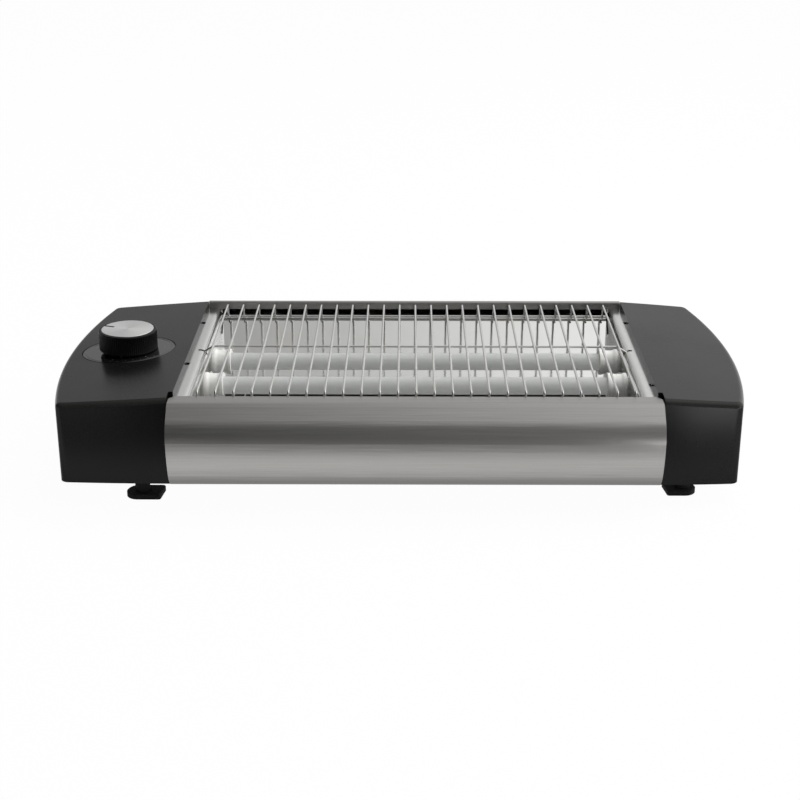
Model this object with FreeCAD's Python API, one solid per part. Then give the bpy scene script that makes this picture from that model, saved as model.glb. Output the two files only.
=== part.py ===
"""Horizontal toaster with two quartz tubes, as an assembly of separate pieces.

Millimetres. X runs to the right along the tubes, Y to the rear and Z up. The
origin is on the table, under the middle of the toaster.
"""
import FreeCAD, Part
import math
import os

Vector = FreeCAD.Vector
ORIGIN = Vector(0, 0, 0)
X_AXIS = Vector(1, 0, 0)
Y_AXIS = Vector(0, 1, 0)
Z_AXIS = Vector(0, 0, 1)
LEFT = -1
RIGHT = 1
FRONT = 1
REAR = -1

# Body
body_width = 400.0
body_depth = 179.3
body_height = 51.3
foot_height = 14.0

# End caps. The sides bow out, the ends fall back a little and the top falls outwards.
left_cap_width = 73.8
right_cap_width = 55.6
cap_front_inset = 9.6
cap_rear_inset = 12.4
cap_widest_from_front = 84.7
cap_end_sweep = 1.8
cap_fall_angle = 3.8
cap_wall = 2.5
cap_corner_radius = 5.0
cap_top_radius = 3.0
cap_lip_height = 4.0
cap_notch_width = 2.5
cap_notch_depth = 11.4
boss_diameter = 7.0
boss_from_end = 21.0
boss_from_side = 14.0

# Hooks that hold the inner edge of each cap down to its side frame
hook_width = 3.6
hook_thickness = 1.4
hook_depth = 3.2
hook_play = 0.25
hook_notch_reach = 1.6
left_hooks_from_front = (67.8, 144.0)
right_hooks_from_front = (33.4, 145.0)

# Front and rear panels, bowed out past the caps
panel_sheet = 0.7
panel_overlap = 1.7
rear_panel_gap = 0.5
panel_drop = 1.9
panel_lip_from_front = 10.2
panel_lip_height = 6.5
panel_lip_radius = 1.2
panel_corner_cut = 2.4
panel_shoulder = 0.5
panel_shoulder_radius = 6.0
panel_slope_angle = 42.0
panel_brow_radius = 16.0
panel_bulge = 14.8
panel_belly_radius = 60.0
panel_toe_radius = 14.6
panel_flange_end = 14.0
panel_screw_from_end = 9.5
hem_from_rear = 4.8
hem_height = 5.0
hem_rise = 0.6
hem_shoulder = 3.0
hem_shoulder_radius = 3.0

# Base plate
base_sheet = 1.0
base_play = 1.6
base_corner_radius = 4.0
vent_length = 24.0
vent_width = 3.0
vent_pitch = 8.0
vent_count = 5
vent_from_wall = 24.0

# Side frames
frame_sheet = 0.8
left_wall_reach = 9.0
right_wall_reach = 8.6
frame_flange_width = 16.4
frame_bend_radius = 4.0
frame_panel_gap = 0.4
frame_link = 2.0
frame_top_from_front = 10.8
frame_top_from_rear = 5.1
frame_front_step = 9.5
frame_rear_step = 5.5
ear_length = 2.4
ear_height = 12.0
frame_screws_from_front = (40.0, 134.0)
frame_screw_from_wall = 12.0

# Tubes and their ceramic holders
tube_diameter = 10.5
tube_wall = 1.0
tube_pitch = 42.0
tubes_from_front = 87.0
tube_below_top = 17.0
tube_seat_depth = 8.0
tube_seat_clearance = 0.2
coil_diameter = 6.0
coil_from_tube_end = 3.0
holder_head_diameter = 15.8
holder_face_from_wall = 12.8
holder_waist_diameter = 11.0
holder_collar_diameter = 12.6
holder_collar_length = 1.2
holder_neck_length = 4.8
holder_clearance = 0.15
clip_diameter = 16.0
clip_thickness = 0.6
pin_diameter = 2.6
pin_clearance = 0.1
pin_tab_thickness = 0.8
pin_tab_width = 6.3
pin_tab_length = 5.0

# Reflectors
reflector_sheet = 0.5
reflector_end_gap = 0.6
reflector_top_reach = 86.95
reflector_top_below = 9.35
reflector_above_tray = 1.5
reflector_slope_angle = 45.0
reflector_top_flange = 2.6
reflector_bottom_flange = 6.0
reflector_tab_width = 11.3

# Grill
wire_diameter = 1.4
wire_count = 25
first_wire_from_wall = 4.35
last_wire_from_wall = 3.54
wire_below_top = 0.2
wire_front_from_front = 11.7
wire_rear_from_front = 170.0
wire_end_drop = 8.7
wire_bend_radius = 1.3
rail_diameter = 1.8
rail_below_wire = 8.2
rail_overhang = 6.2
middle_rail_from_front = 92.3
middle_rail_bend_radius = 3.0
middle_rail_end_angle = 32.0
middle_rail_bend_from_wall = 4.0
middle_rail_end_past_wall = 5.0
rail_slot_width = 2.4
rail_slot_depth = 3.4
middle_rail_slot_height = 5.0
middle_rail_slot_depth = 5.2

# Crumb tray
tray_sheet = 0.7
tray_from_inner_edge = 27.3
tray_wall_height = 4.6
tray_front_from_front = 25.0
tray_slot_play = 0.6
tray_slot_height = 6.4
tray_grip_play = 0.4
tray_grip_height = 8.4
tray_grip_extra_width = 8.0
tray_grip_lip = 2.0

# Timer and knob
knob_from_front = 88.5
knob_from_inner_edge = 37.8
dial_width = 56.0
dial_depth = 46.6
dial_thickness = 1.0
dial_play = 0.3
knob_diameter = 34.8
knob_height = 11.7
knob_play = 0.35
knob_rim = 1.8
knob_shell = 2.4
disc_thickness = 1.0
disc_proud = 0.3
disc_play = 0.05
hub_diameter = 10.0
hub_clip_diameter = 12.0
hub_clip_height = 1.2
hub_clip_gap = 2.0
shaft_diameter = 6.0
shaft_flat_depth = 1.5
shaft_flat_start = 1.0
shaft_play = 0.05
shaft_top = 9.6
shaft_bottom = 12.0
timer_width = 38.0
timer_length = 44.0
timer_depth = 25.0
timer_corner_radius = 3.0
timer_plate_thickness = 1.4
timer_plate_margin = 1.5
timer_plate_play = 0.05
timer_neck_diameter = 9.0
timer_neck_below_dial = 0.3
timer_screw_spacing = 30.0
timer_screw_length = 5.2
timer_screw_below_dial = 0.25
timer_screw_head_height = 1.3
timer_tab_spacing = 13.0
timer_tab_length = 7.0
timer_tab_width = 6.3
timer_tab_thickness = 0.8
timer_tab_depth = 21.0

# Wiring
lead_diameter = 2.6
lead_end_gap = 0.02
lead_straight_end = 8.0
timer_lead_reach = 14.0
timer_lead_from_wall = 23.3
timer_lead_rise = 1.7
neutral_lead_reach = 5.2
neutral_lead_run = 4.0
neutral_lead_rise = 7.0
neutral_lead_end = 10.0
earth_lead_reach = 3.8
link_lead_reach = 13.0
block_length = 26.0
block_width = 18.0
block_height = 14.0
block_from_rear = 20.0
block_from_inner_edge = 24.8
block_lead_height = 7.5
block_pole_pitch = 8.0
block_hole_diameter = 3.0
block_hole_depth = 6.0
block_screw_diameter = 4.0
block_screw_length = 3.0
block_screw_play = 0.1
grommet_from_inner_edge = 31.8
grommet_height = 15.0
grommet_hole_diameter = 9.0
grommet_bore_diameter = 6.4
grommet_flange_diameter = 13.0
grommet_flange_thickness = 1.6
grommet_grip = 3.3
grommet_set_in = 0.3
grommet_play = 0.1
earth_from_front = 160.0
earth_height = 10.0
earth_tag_thickness = 0.8
earth_tag_diameter = 8.0
earth_leaf_length = 6.0

# Screws
screw_diameter = 3.0
screw_clearance = 0.1
screw_head_diameter = 5.6
screw_head_height = 2.0
screw_cross_width = 0.9
foot_screw_length = 14.0
cap_screw_length = 11.0
frame_screw_length = 4.0
panel_screw_length = 4.0
earth_screw_length = 4.0

# Feet
left_foot_pad_length = 21.6
right_foot_pad_length = 18.4
foot_pad_width = 14.0
foot_pad_height = 3.2
foot_pad_chamfer = 0.6
foot_pad_slant = 1.6
foot_pad_corner_radius = 1.4
foot_stem_diameter = 8.5
foot_stem_offset = 1.6
foot_counterbore_diameter = 6.2
foot_counterbore_depth = 4.0
left_foot_from_side = 54.3
left_foot_from_end = 15.85
right_foot_from_side = 38.0
right_foot_from_end = 22.65

# How far a cutting shape runs past the faces that it opens
cut_past = 1.0

# Places worked out from the sizes above
cap_front_half_width = body_width / 2 - cap_front_inset
cap_rear_half_width = body_width / 2 - cap_rear_inset
left_cap_inner_edge = body_width / 2 - left_cap_width
right_cap_inner_edge = body_width / 2 - right_cap_width
well_width = left_cap_inner_edge + right_cap_inner_edge
front_y = -body_depth / 2
rear_y = body_depth / 2
bottom_z = foot_height
top_z = foot_height + body_height
base_z = bottom_z + panel_sheet
base_top_z = base_z + base_sheet
flange_z = top_z - cap_lip_height
well_middle_x = (right_cap_inner_edge - left_cap_inner_edge) / 2
left_wall_x = -left_cap_inner_edge + left_wall_reach
right_wall_x = right_cap_inner_edge - right_wall_reach
tubes_y = front_y + tubes_from_front
tube_z = top_z - tube_below_top
reflector_drop = top_z - reflector_top_below - base_top_z - tray_wall_height - reflector_above_tray
wire_z = top_z - wire_below_top
wire_front_y = front_y + wire_front_from_front
wire_rear_y = front_y + wire_rear_from_front
rail_z = wire_z - rail_below_wire
first_wire_x = left_wall_x + first_wire_from_wall
wire_pitch = (right_wall_x - last_wire_from_wall - first_wire_x) / (wire_count - 1)
tray_left_x = -left_cap_inner_edge + tray_from_inner_edge
tray_right_x = right_cap_inner_edge - tray_from_inner_edge
fall = math.tan(math.radians(cap_fall_angle))
knob_x = -left_cap_inner_edge - knob_from_inner_edge
knob_y = front_y + knob_from_front
knob_z = top_z - fall * knob_from_inner_edge
knob_gap = fall * knob_diameter / 2 + knob_play
timer_plate_drop = fall * (timer_width / 2 - timer_plate_margin) + cap_wall + timer_plate_play
block_x = -left_cap_inner_edge - block_from_inner_edge
block_front_y = rear_y - block_from_rear - block_width
block_lead_z = base_top_z + block_lead_height
pole_end_y = block_front_y + block_hole_depth - 1


def box(x0, x1, y0, y1, z0, z1):
    """A block between two opposite corners, in either order."""
    low = Vector(min(x0, x1), min(y0, y1), min(z0, z1))
    return Part.makeBox(abs(x1 - x0), abs(y1 - y0), abs(z1 - z0), low)


def rod(diameter, length, base, axis):
    """A round bar from a base point along an axis."""
    return Part.makeCylinder(diameter / 2, length, base, axis)


def ring(outer, inner, length, base, axis):
    """A round bar with a bore right through it."""
    return rod(outer, length, base, axis).cut(rod(inner, length, base, axis))


def line(start, end):
    """A straight edge."""
    return Part.LineSegment(start, end).toShape()


def curve(start, middle, end):
    """An arc through three points."""
    return Part.Arc(start, middle, end).toShape()


def face_of(edges):
    """A flat face inside a closed chain of edges."""
    return Part.Face(Part.Wire(Part.__sortEdges__(edges)))


def polygon_face(points):
    """A flat face inside straight edges."""
    return Part.Face(Part.makePolygon(points + [points[0]]))


def fuse(first, others):
    """One solid from several that touch or overlap."""
    return first.multiFuse(others).removeSplitter()


def pull_along_x(face, x0, x1):
    """A section in the plane X = 0, pulled from one X to another."""
    solid = face.extrude(Vector(x1 - x0, 0, 0))
    solid.translate(Vector(x0, 0, 0))
    return solid


def tube_along(points, diameter, radius=None):
    """A round bar along straight runs joined by arcs, by default as large as the runs allow."""
    edges = []
    start = points[0]
    for before, corner, after in zip(points, points[1:], points[2:]):
        inward = (before - corner).normalize()
        outward = (after - corner).normalize()
        half_turn = (math.pi - inward.getAngle(outward)) / 2
        shorter = min((before - corner).Length, (after - corner).Length)
        bend = radius or 0.45 * shorter / math.tan(half_turn)
        reach = bend * math.tan(half_turn)
        to_middle = bend / math.cos(half_turn) - bend
        bisector = (inward + outward).normalize()
        bend_start = corner + inward * reach
        edges.append(line(start, bend_start))
        start = corner + outward * reach
        edges.append(curve(bend_start, corner + bisector * to_middle, start))
    edges.append(line(start, points[-1]))
    section = Part.Wire(Part.Circle(points[0], points[1] - points[0], diameter / 2).toShape())
    return Part.Wire(edges).makePipeShell([section], True, False)


def screw(head_at, direction, length):
    """A pan head screw from the face under its head, with its shank along a direction."""
    shank_diameter = screw_diameter - 2 * screw_clearance
    solid = rod(screw_head_diameter, screw_head_height, ORIGIN, Z_AXIS)
    solid = solid.fuse(rod(shank_diameter, length, Vector(0, 0, -length), Z_AXIS)).removeSplitter()
    half_slot = screw_head_diameter * 0.3
    half_width = screw_cross_width / 2
    for half_x, half_y in ((half_slot, half_width), (half_width, half_slot)):
        slot = box(-half_x, half_x, -half_y, half_y, screw_head_height / 2, screw_head_height + cut_past)
        solid = solid.cut(slot)
    solid.Placement = FreeCAD.Placement(head_at, FreeCAD.Rotation(Z_AXIS, direction * -1))
    return solid


def drill(shape, places, direction, length):
    """Cuts the shanks' holes of screws from a shape."""
    for place in places:
        shape = shape.cut(rod(screw_diameter, length, place, direction))
    return shape


def inner_edge(side):
    """X of the edge of a cap's top beside the well."""
    return -left_cap_inner_edge if side == LEFT else right_cap_inner_edge


def wall_x(side):
    """X of a side frame's face towards the well."""
    return left_wall_x if side == LEFT else right_wall_x


def holder_face_x(side):
    """X of a tube holder's face towards the well."""
    return wall_x(side) - side * holder_face_from_wall


def terminal_end_x(side):
    """X of the far end of a tube's terminal."""
    return wall_x(side) + side * (holder_neck_length + pin_tab_length)


def tube_y(end):
    """Y of the front or the rear tube."""
    return tubes_y - end * tube_pitch / 2


def front_corner(side):
    """The corner of the body where a side meets the front."""
    return Vector(side * cap_front_half_width, front_y + cap_end_sweep, 0)


def rear_corner(side):
    """The corner of the body where a side meets the rear."""
    return Vector(side * cap_rear_half_width, rear_y - cap_end_sweep, 0)


def side_curve(side):
    """The bowed side of the body, from its front corner to its rear corner."""
    widest = Vector(side * body_width / 2, front_y + cap_widest_from_front, 0)
    return curve(front_corner(side), widest, rear_corner(side))


def end_curve(start_x, start_y, corner):
    """The front or rear edge of a cap, falling back ever more towards the corner."""
    middle = Vector((start_x + corner.x) / 2, start_y + (corner.y - start_y) / 4, 0)
    return curve(Vector(start_x, start_y, 0), middle, corner)


def cap_outline(side):
    """The plan of an end cap, with the notch that clears the front panel's end."""
    edge = inner_edge(side)
    notch = edge + side * cap_notch_width
    notch_back = front_y + cap_notch_depth
    return face_of([
        end_curve(notch, front_y, front_corner(side)),
        side_curve(side),
        end_curve(edge, rear_y, rear_corner(side)),
        line(Vector(edge, rear_y, 0), Vector(edge, notch_back, 0)),
        line(Vector(edge, notch_back, 0), Vector(notch, notch_back, 0)),
        line(Vector(notch, notch_back, 0), Vector(notch, front_y, 0)),
    ])


def under_top(side, drop):
    """All that lies below a cap's falling top when the top is lowered square to itself."""
    edge = inner_edge(side)
    margin = 12.0
    level = top_z - drop / math.cos(math.radians(cap_fall_angle))
    outer = side * (body_width / 2 + margin)
    inner = edge - side * margin
    corners = [
        Vector(inner, front_y - margin, 0),
        Vector(outer, front_y - margin, 0),
        Vector(outer, front_y - margin, level - fall * abs(outer - edge)),
        Vector(inner, front_y - margin, level + fall * margin),
    ]
    return polygon_face(corners).extrude(Vector(0, body_depth + 2 * margin, 0))


def boss_places(side):
    """Where a cap's screw bosses stand: two near its outer corners and one near the well."""
    outer_x = side * (cap_rear_half_width - boss_from_side)
    inner_x = wall_x(side) + side * (frame_flange_width + boss_diameter)
    near_front = front_y + boss_from_end
    near_rear = rear_y - boss_from_end
    return [
        Vector(outer_x, near_front, base_z),
        Vector(outer_x, near_rear, base_z),
        Vector(inner_x, near_front + boss_from_end, base_z),
    ]


def hook_row(side, near, far, play):
    """A block at each hook of a cap, between two distances behind the cap's inner edge."""
    near_x = inner_edge(side) + side * near
    far_x = inner_edge(side) + side * far
    half = hook_width / 2 + play
    low = flange_z - hook_depth
    high = flange_z + cut_past
    blocks = []
    for distance in (left_hooks_from_front if side == LEFT else right_hooks_from_front):
        middle = front_y + distance
        blocks.append(box(near_x, far_x, middle - half, middle + half, low, high))
    return blocks


def hooks(side):
    """The hooks of a cap's lip."""
    return hook_row(side, hook_play, hook_play + hook_thickness, 0)


def hook_notches(side):
    """The notches in a side frame that the hooks pass through, open towards the well."""
    return hook_row(side, -hook_notch_reach, 2 * hook_play + hook_thickness, hook_play)


def end_cap(side):
    """A moulded end cap: top, front, side and rear walls, inner lip, hooks and screw bosses."""
    shell = cap_outline(side).extrude(Vector(0, 0, body_height + cut_past))
    shell.translate(Vector(0, 0, bottom_z))
    shell = shell.common(under_top(side, 0))
    near_end_x = cap_rear_half_width - cap_wall
    corners = [edge for edge in shell.Edges if abs(edge.BoundBox.Center.x) > near_end_x
               and edge.BoundBox.ZLength > body_height / 2]
    shell = shell.makeFillet(cap_corner_radius, corners)
    past_notch_x = abs(inner_edge(side)) + 1.5 * cap_notch_width
    rim = [edge for edge in shell.Edges if abs(edge.BoundBox.Center.x) > past_notch_x
           and edge.BoundBox.ZMin > top_z - body_height / 2]
    shell = shell.makeFillet(cap_top_radius, rim)

    hollow = cap_outline(side).makeOffset2D(-cap_wall).extrude(Vector(0, 0, 2 * top_z))
    shell = shell.cut(hollow.common(under_top(side, cap_wall)))
    edge = inner_edge(side)
    below_lip = box(edge - side * cut_past, edge + side * (cap_notch_width + 2 * cap_wall),
                    front_y + cap_wall, rear_y - cap_wall, 0, flange_z)
    shell = shell.cut(below_lip)

    bosses = []
    for place in boss_places(side):
        post = rod(boss_diameter, top_z, Vector(place.x, place.y, base_top_z), Z_AXIS)
        bosses.append(post.common(under_top(side, cap_wall / 2)))
    shell = fuse(shell, bosses + hooks(side))
    return drill(shell, boss_places(side), Z_AXIS, cap_screw_length + 2 * cut_past)


def on_dial(shape):
    """Moves a shape from the dial's frame, with Z square to the left cap's top, to its place."""
    placed = shape.copy()
    tilt = FreeCAD.Rotation(Y_AXIS, -cap_fall_angle)
    placed.Placement = FreeCAD.Placement(Vector(knob_x, knob_y, knob_z), tilt).multiply(placed.Placement)
    return placed


def on_shaft(shape):
    """Moves a shape from the shaft's frame, with Z along the upright shaft, to its place."""
    placed = shape.copy()
    placed.translate(Vector(knob_x, knob_y, knob_z))
    return placed


def shaft_rod(diameter, bottom, top):
    """A round bar about the shaft's axis between two heights, in the shaft's frame."""
    return rod(diameter, top - bottom, Vector(0, 0, bottom), Z_AXIS)


def dial_oval(play, bottom, top):
    """The scale plate's oval, grown by a play, between two heights in the dial's frame."""
    rim = Part.Ellipse(Vector(0, 0, bottom), dial_width / 2 + play, dial_depth / 2 + play).toShape()
    return Part.Face(Part.Wire(rim)).extrude(Vector(0, 0, top - bottom))


def timer_screw(play):
    """A countersunk screw under the dial plate, or with play the hole it sits in."""
    head_z = -dial_thickness - timer_screw_below_dial
    shank = screw_diameter - 2 * screw_clearance + 2 * play
    head = Part.makeCone(shank / 2, screw_head_diameter / 2 + play, timer_screw_head_height)
    head.translate(Vector(0, 0, head_z - timer_screw_head_height))
    screw = head.fuse(shaft_rod(shank, head_z - timer_screw_length, head_z - timer_screw_head_height / 2))
    if not play:
        return screw
    return screw.fuse(shaft_rod(screw_head_diameter + 2 * play, head_z, 0))


def at_timer_screws(shape):
    """A shape at both screws of the timer, in the shaft's frame."""
    copies = []
    for side in (FRONT, REAR):
        moved = shape.copy()
        moved.translate(Vector(0, -side * timer_screw_spacing / 2, 0))
        copies.append(moved)
    return copies


def left_end_cap():
    """The wide cap, with the dial's seat, the timer's holes and the inlet's hole."""
    shell = end_cap(LEFT)
    seat = dial_oval(dial_play, -dial_thickness, cap_wall)
    neck_hole = shaft_rod(timer_neck_diameter + 2 * dial_play, -2 * cap_wall, cap_wall)
    shell = shell.cut(on_dial(seat))
    for cutter in [neck_hole] + at_timer_screws(timer_screw(screw_clearance)):
        shell = shell.cut(on_shaft(cutter))
    inlet = Vector(-left_cap_inner_edge - grommet_from_inner_edge, rear_y - 3 * cap_wall,
                   bottom_z + grommet_height)
    return shell.cut(rod(grommet_hole_diameter + 2 * grommet_play, 4 * cap_wall, inlet, Y_AXIS))


class PanelProfile:
    """The bowed section of a panel, by distance behind the end walls and height against the cap tops."""

    def __init__(self, top, lip_at, lip_height, shoulder_at, shoulder_radius):
        self.top = top
        self.lip_at = lip_at
        self.lip_height = lip_height
        slope = math.radians(panel_slope_angle)
        self.shoulder = (shoulder_at, top - shoulder_radius)
        self.shoulder_radius = shoulder_radius
        brow_at = panel_brow_radius - panel_bulge
        start_at = brow_at - panel_brow_radius * math.sin(slope)
        end_at = shoulder_at - shoulder_radius * math.sin(slope)
        run = (end_at - start_at) / math.cos(slope)
        end_height = self.shoulder[1] + shoulder_radius * math.cos(slope)
        start_height = end_height - run * math.sin(slope)
        self.brow = (brow_at, start_height - panel_brow_radius * math.cos(slope))
        self.belly = (panel_belly_radius - panel_bulge, self.brow[1])
        between = panel_belly_radius - panel_toe_radius
        self.belly_angle = math.asin((body_height + self.brow[1] - panel_toe_radius) / between)
        self.toe = (
            self.belly[0] - between * math.cos(self.belly_angle),
            self.belly[1] - between * math.sin(self.belly_angle),
        )

    def reach(self, up):
        """How far the bow stands out past the end walls at a height, at most its widest."""
        up = min(up, self.belly[1])
        centre, radius = self.toe, panel_toe_radius
        if up > self.toe[1] - panel_toe_radius * math.sin(self.belly_angle):
            centre, radius = self.belly, panel_belly_radius
        return math.sqrt(radius ** 2 - (up - centre[1]) ** 2) - centre[0]

    def skin(self, offset, place):
        """The edges of a skin set in by an offset, with its end points in order."""
        def arc(centre, radius, start, end):
            points = []
            for angle in (start, (start + end) / 2, end):
                across = centre[0] + (radius - offset) * math.cos(angle)
                points.append(place(across, centre[1] + (radius - offset) * math.sin(angle)))
            return points
        quarter = math.pi / 2
        slope_end = quarter + math.radians(panel_slope_angle)
        lip_centre = (self.lip_at - panel_lip_radius, self.top - panel_lip_radius)
        arcs = [
            arc(lip_centre, panel_lip_radius, 0, quarter),
            arc(self.shoulder, self.shoulder_radius, quarter, slope_end),
            arc(self.brow, panel_brow_radius, slope_end, math.pi),
            arc(self.belly, panel_belly_radius, math.pi, math.pi + self.belly_angle),
            arc(self.toe, panel_toe_radius, math.pi + self.belly_angle, 3 * quarter),
        ]
        start = place(self.lip_at - offset, self.top - self.lip_height)
        end = place(panel_flange_end, -body_height + offset)
        edges = []
        last = start
        for first, middle, final in arcs:
            if (first - last).Length > 1e-6:
                edges.append(line(last, first))
            edges.append(curve(first, middle, final))
            last = final
        edges.append(line(last, end))
        return edges, start, end

    def sheet(self, place, x0, x1):
        """The bent sheet from one X to another."""
        outer, outer_start, outer_end = self.skin(0, place)
        inner, inner_start, inner_end = self.skin(panel_sheet, place)
        ends = [line(outer_start, inner_start), line(outer_end, inner_end)]
        return pull_along_x(face_of(outer + inner + ends), x0, x1)


front_profile = PanelProfile(-panel_drop, panel_lip_from_front, panel_lip_height,
                             panel_shoulder, panel_shoulder_radius)
rear_profile = PanelProfile(hem_rise, hem_from_rear, hem_height, hem_shoulder, hem_shoulder_radius)


def from_front(back, up):
    """A point of the front panel's section."""
    return Vector(0, front_y + back, top_z + up)


def from_rear(back, up):
    """A point of the rear panel's section."""
    return Vector(0, rear_y - back, top_z + up)


def panel_hollow(profile, place):
    """The area inside a panel's bow that a side frame's wall fills."""
    edges, start, end = profile.skin(panel_sheet + frame_panel_gap, place)
    return face_of(edges + [line(end, start)])


def panel_screw_places(end):
    """Where screws hold a panel's flange to the base plate, clear of the crumb tray at the rear."""
    y = front_y + panel_screw_from_end if end == FRONT else rear_y - panel_screw_from_end
    left_x = (left_wall_x + tray_left_x) / 2
    right_x = (right_wall_x + tray_right_x) / 2
    across = (left_x, well_middle_x, right_x) if end == FRONT else (left_x, right_x)
    return [Vector(x, y, bottom_z) for x in across]


def front_panel():
    """The bowed front panel, with the rear corners of its top cut off."""
    half = well_width / 2 + panel_overlap
    shape = front_profile.sheet(from_front, well_middle_x - half, well_middle_x + half)
    lip_y = front_y + panel_lip_from_front
    low = flange_z - panel_lip_height
    for side in (LEFT, RIGHT):
        end_x = well_middle_x + side * half
        corner = polygon_face([
            Vector(end_x, lip_y - 2 * panel_corner_cut, low),
            Vector(end_x, lip_y + cut_past, low),
            Vector(end_x - side * panel_corner_cut, lip_y + cut_past, low),
            Vector(end_x - side * panel_corner_cut, lip_y - panel_corner_cut / 2, low),
        ])
        shape = shape.cut(corner.extrude(Vector(0, 0, 2 * panel_lip_height)))
    return drill(shape, panel_screw_places(FRONT), Z_AXIS, panel_screw_length)


def rear_panel():
    """The bowed rear panel, with the hem behind the well and the crumb tray's slot."""
    left_x = -left_cap_inner_edge + rear_panel_gap
    right_x = right_cap_inner_edge - rear_panel_gap
    shape = rear_profile.sheet(from_rear, left_x, right_x)
    slot = box(tray_left_x - tray_slot_play, tray_right_x + tray_slot_play,
               rear_y - panel_flange_end, rear_y + panel_bulge + cut_past,
               base_top_z - tray_slot_play, base_top_z - tray_slot_play + tray_slot_height)
    return drill(shape.cut(slot), panel_screw_places(REAR), Z_AXIS, panel_screw_length)


def foot_places():
    """Side, end and middle of each foot."""
    left_x = left_foot_from_side - body_width / 2
    right_x = body_width / 2 - right_foot_from_side
    places = []
    for end in (FRONT, REAR):
        places.append((LEFT, end, Vector(left_x, end * (front_y + left_foot_from_end), 0)))
        places.append((RIGHT, end, Vector(right_x, end * (front_y + right_foot_from_end), 0)))
    return places


def stem_places():
    """The middles of the feet's stems on the table."""
    return [middle + Vector(side * foot_stem_offset, 0, 0) for side, end, middle in foot_places()]


def frame_screw_places(side):
    """Where screws hold a side frame's foot flange to the base plate."""
    x = wall_x(side) + side * frame_screw_from_wall
    return [Vector(x, front_y + distance, base_z) for distance in frame_screws_from_front]


def base_plate():
    """The flat base with air slots in both end compartments."""
    outline = face_of([
        side_curve(LEFT),
        end_curve(inner_edge(LEFT), rear_y, rear_corner(LEFT)),
        line(Vector(inner_edge(LEFT), rear_y, 0), Vector(inner_edge(RIGHT), rear_y, 0)),
        end_curve(inner_edge(RIGHT), rear_y, rear_corner(RIGHT)),
        side_curve(RIGHT),
        end_curve(inner_edge(RIGHT), front_y, front_corner(RIGHT)),
        line(Vector(inner_edge(RIGHT), front_y, 0), Vector(inner_edge(LEFT), front_y, 0)),
        end_curve(inner_edge(LEFT), front_y, front_corner(LEFT)),
    ])
    plate = outline.makeOffset2D(-(cap_wall + base_play)).extrude(Vector(0, 0, base_sheet))
    plate.translate(Vector(0, 0, base_z))
    near_end_x = cap_rear_half_width - 2 * (cap_wall + base_play)
    corners = [edge for edge in plate.Edges if abs(edge.BoundBox.Center.x) > near_end_x
               and edge.BoundBox.YLength < base_sheet and edge.BoundBox.ZLength > base_sheet / 2]
    plate = plate.makeFillet(base_corner_radius, corners)

    for side in (LEFT, RIGHT):
        near_x = wall_x(side) + side * vent_from_wall
        for number in range(vent_count):
            low_y = knob_y + (number - (vent_count - 1) / 2) * vent_pitch - vent_width / 2
            vent = box(near_x, near_x + side * vent_length, low_y, low_y + vent_width, base_z, base_top_z)
            plate = plate.cut(vent)
        plate = drill(plate, boss_places(side) + frame_screw_places(side), Z_AXIS, base_sheet)
    for end in (FRONT, REAR):
        plate = drill(plate, panel_screw_places(end), Z_AXIS, 2 * base_sheet)
    return drill(plate, stem_places(), Z_AXIS, 2 * foot_height)


def frame_section(side, y):
    """The bent section of a side frame: foot flange, wall, round bend and top flange."""
    radius = frame_bend_radius
    inner_radius = radius - frame_sheet
    bend_z = flange_z - radius
    half_turn = math.sqrt(0.5)

    def at(out, z):
        return Vector(wall_x(side) + side * out, y, z)

    outer_bend = [
        at(0, bend_z),
        at(radius * (1 - half_turn), bend_z + radius * half_turn),
        at(radius, flange_z),
    ]
    inner_bend = [
        at(radius, flange_z - frame_sheet),
        at(radius - inner_radius * half_turn, bend_z + inner_radius * half_turn),
        at(frame_sheet, bend_z),
    ]
    top_end = [at(frame_flange_width, flange_z), at(frame_flange_width, flange_z - frame_sheet)]
    foot_end = [
        at(frame_sheet, base_top_z + frame_sheet),
        at(frame_flange_width, base_top_z + frame_sheet),
        at(frame_flange_width, base_top_z),
        at(0, base_top_z),
    ]
    straight = [
        [outer_bend[2]] + top_end + [inner_bend[0]],
        [inner_bend[2]] + foot_end + [outer_bend[0]],
    ]
    edges = [curve(*outer_bend), curve(*inner_bend)]
    for run in straight:
        edges += [line(start, end) for start, end in zip(run, run[1:])]
    return face_of(edges)


def end_rail_y(end):
    """Y of the front or the rear rail, behind the wires' bent ends."""
    return (wire_front_y if end == FRONT else wire_rear_y) + (wire_diameter + rail_diameter) / 2


def middle_rail_height(past_wall):
    """Height of the middle rail's sloping end, some way past a wall's inner face."""
    run = middle_rail_bend_from_wall + past_wall
    return wire_z - wire_diameter - run * math.tan(math.radians(middle_rail_end_angle))


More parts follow.
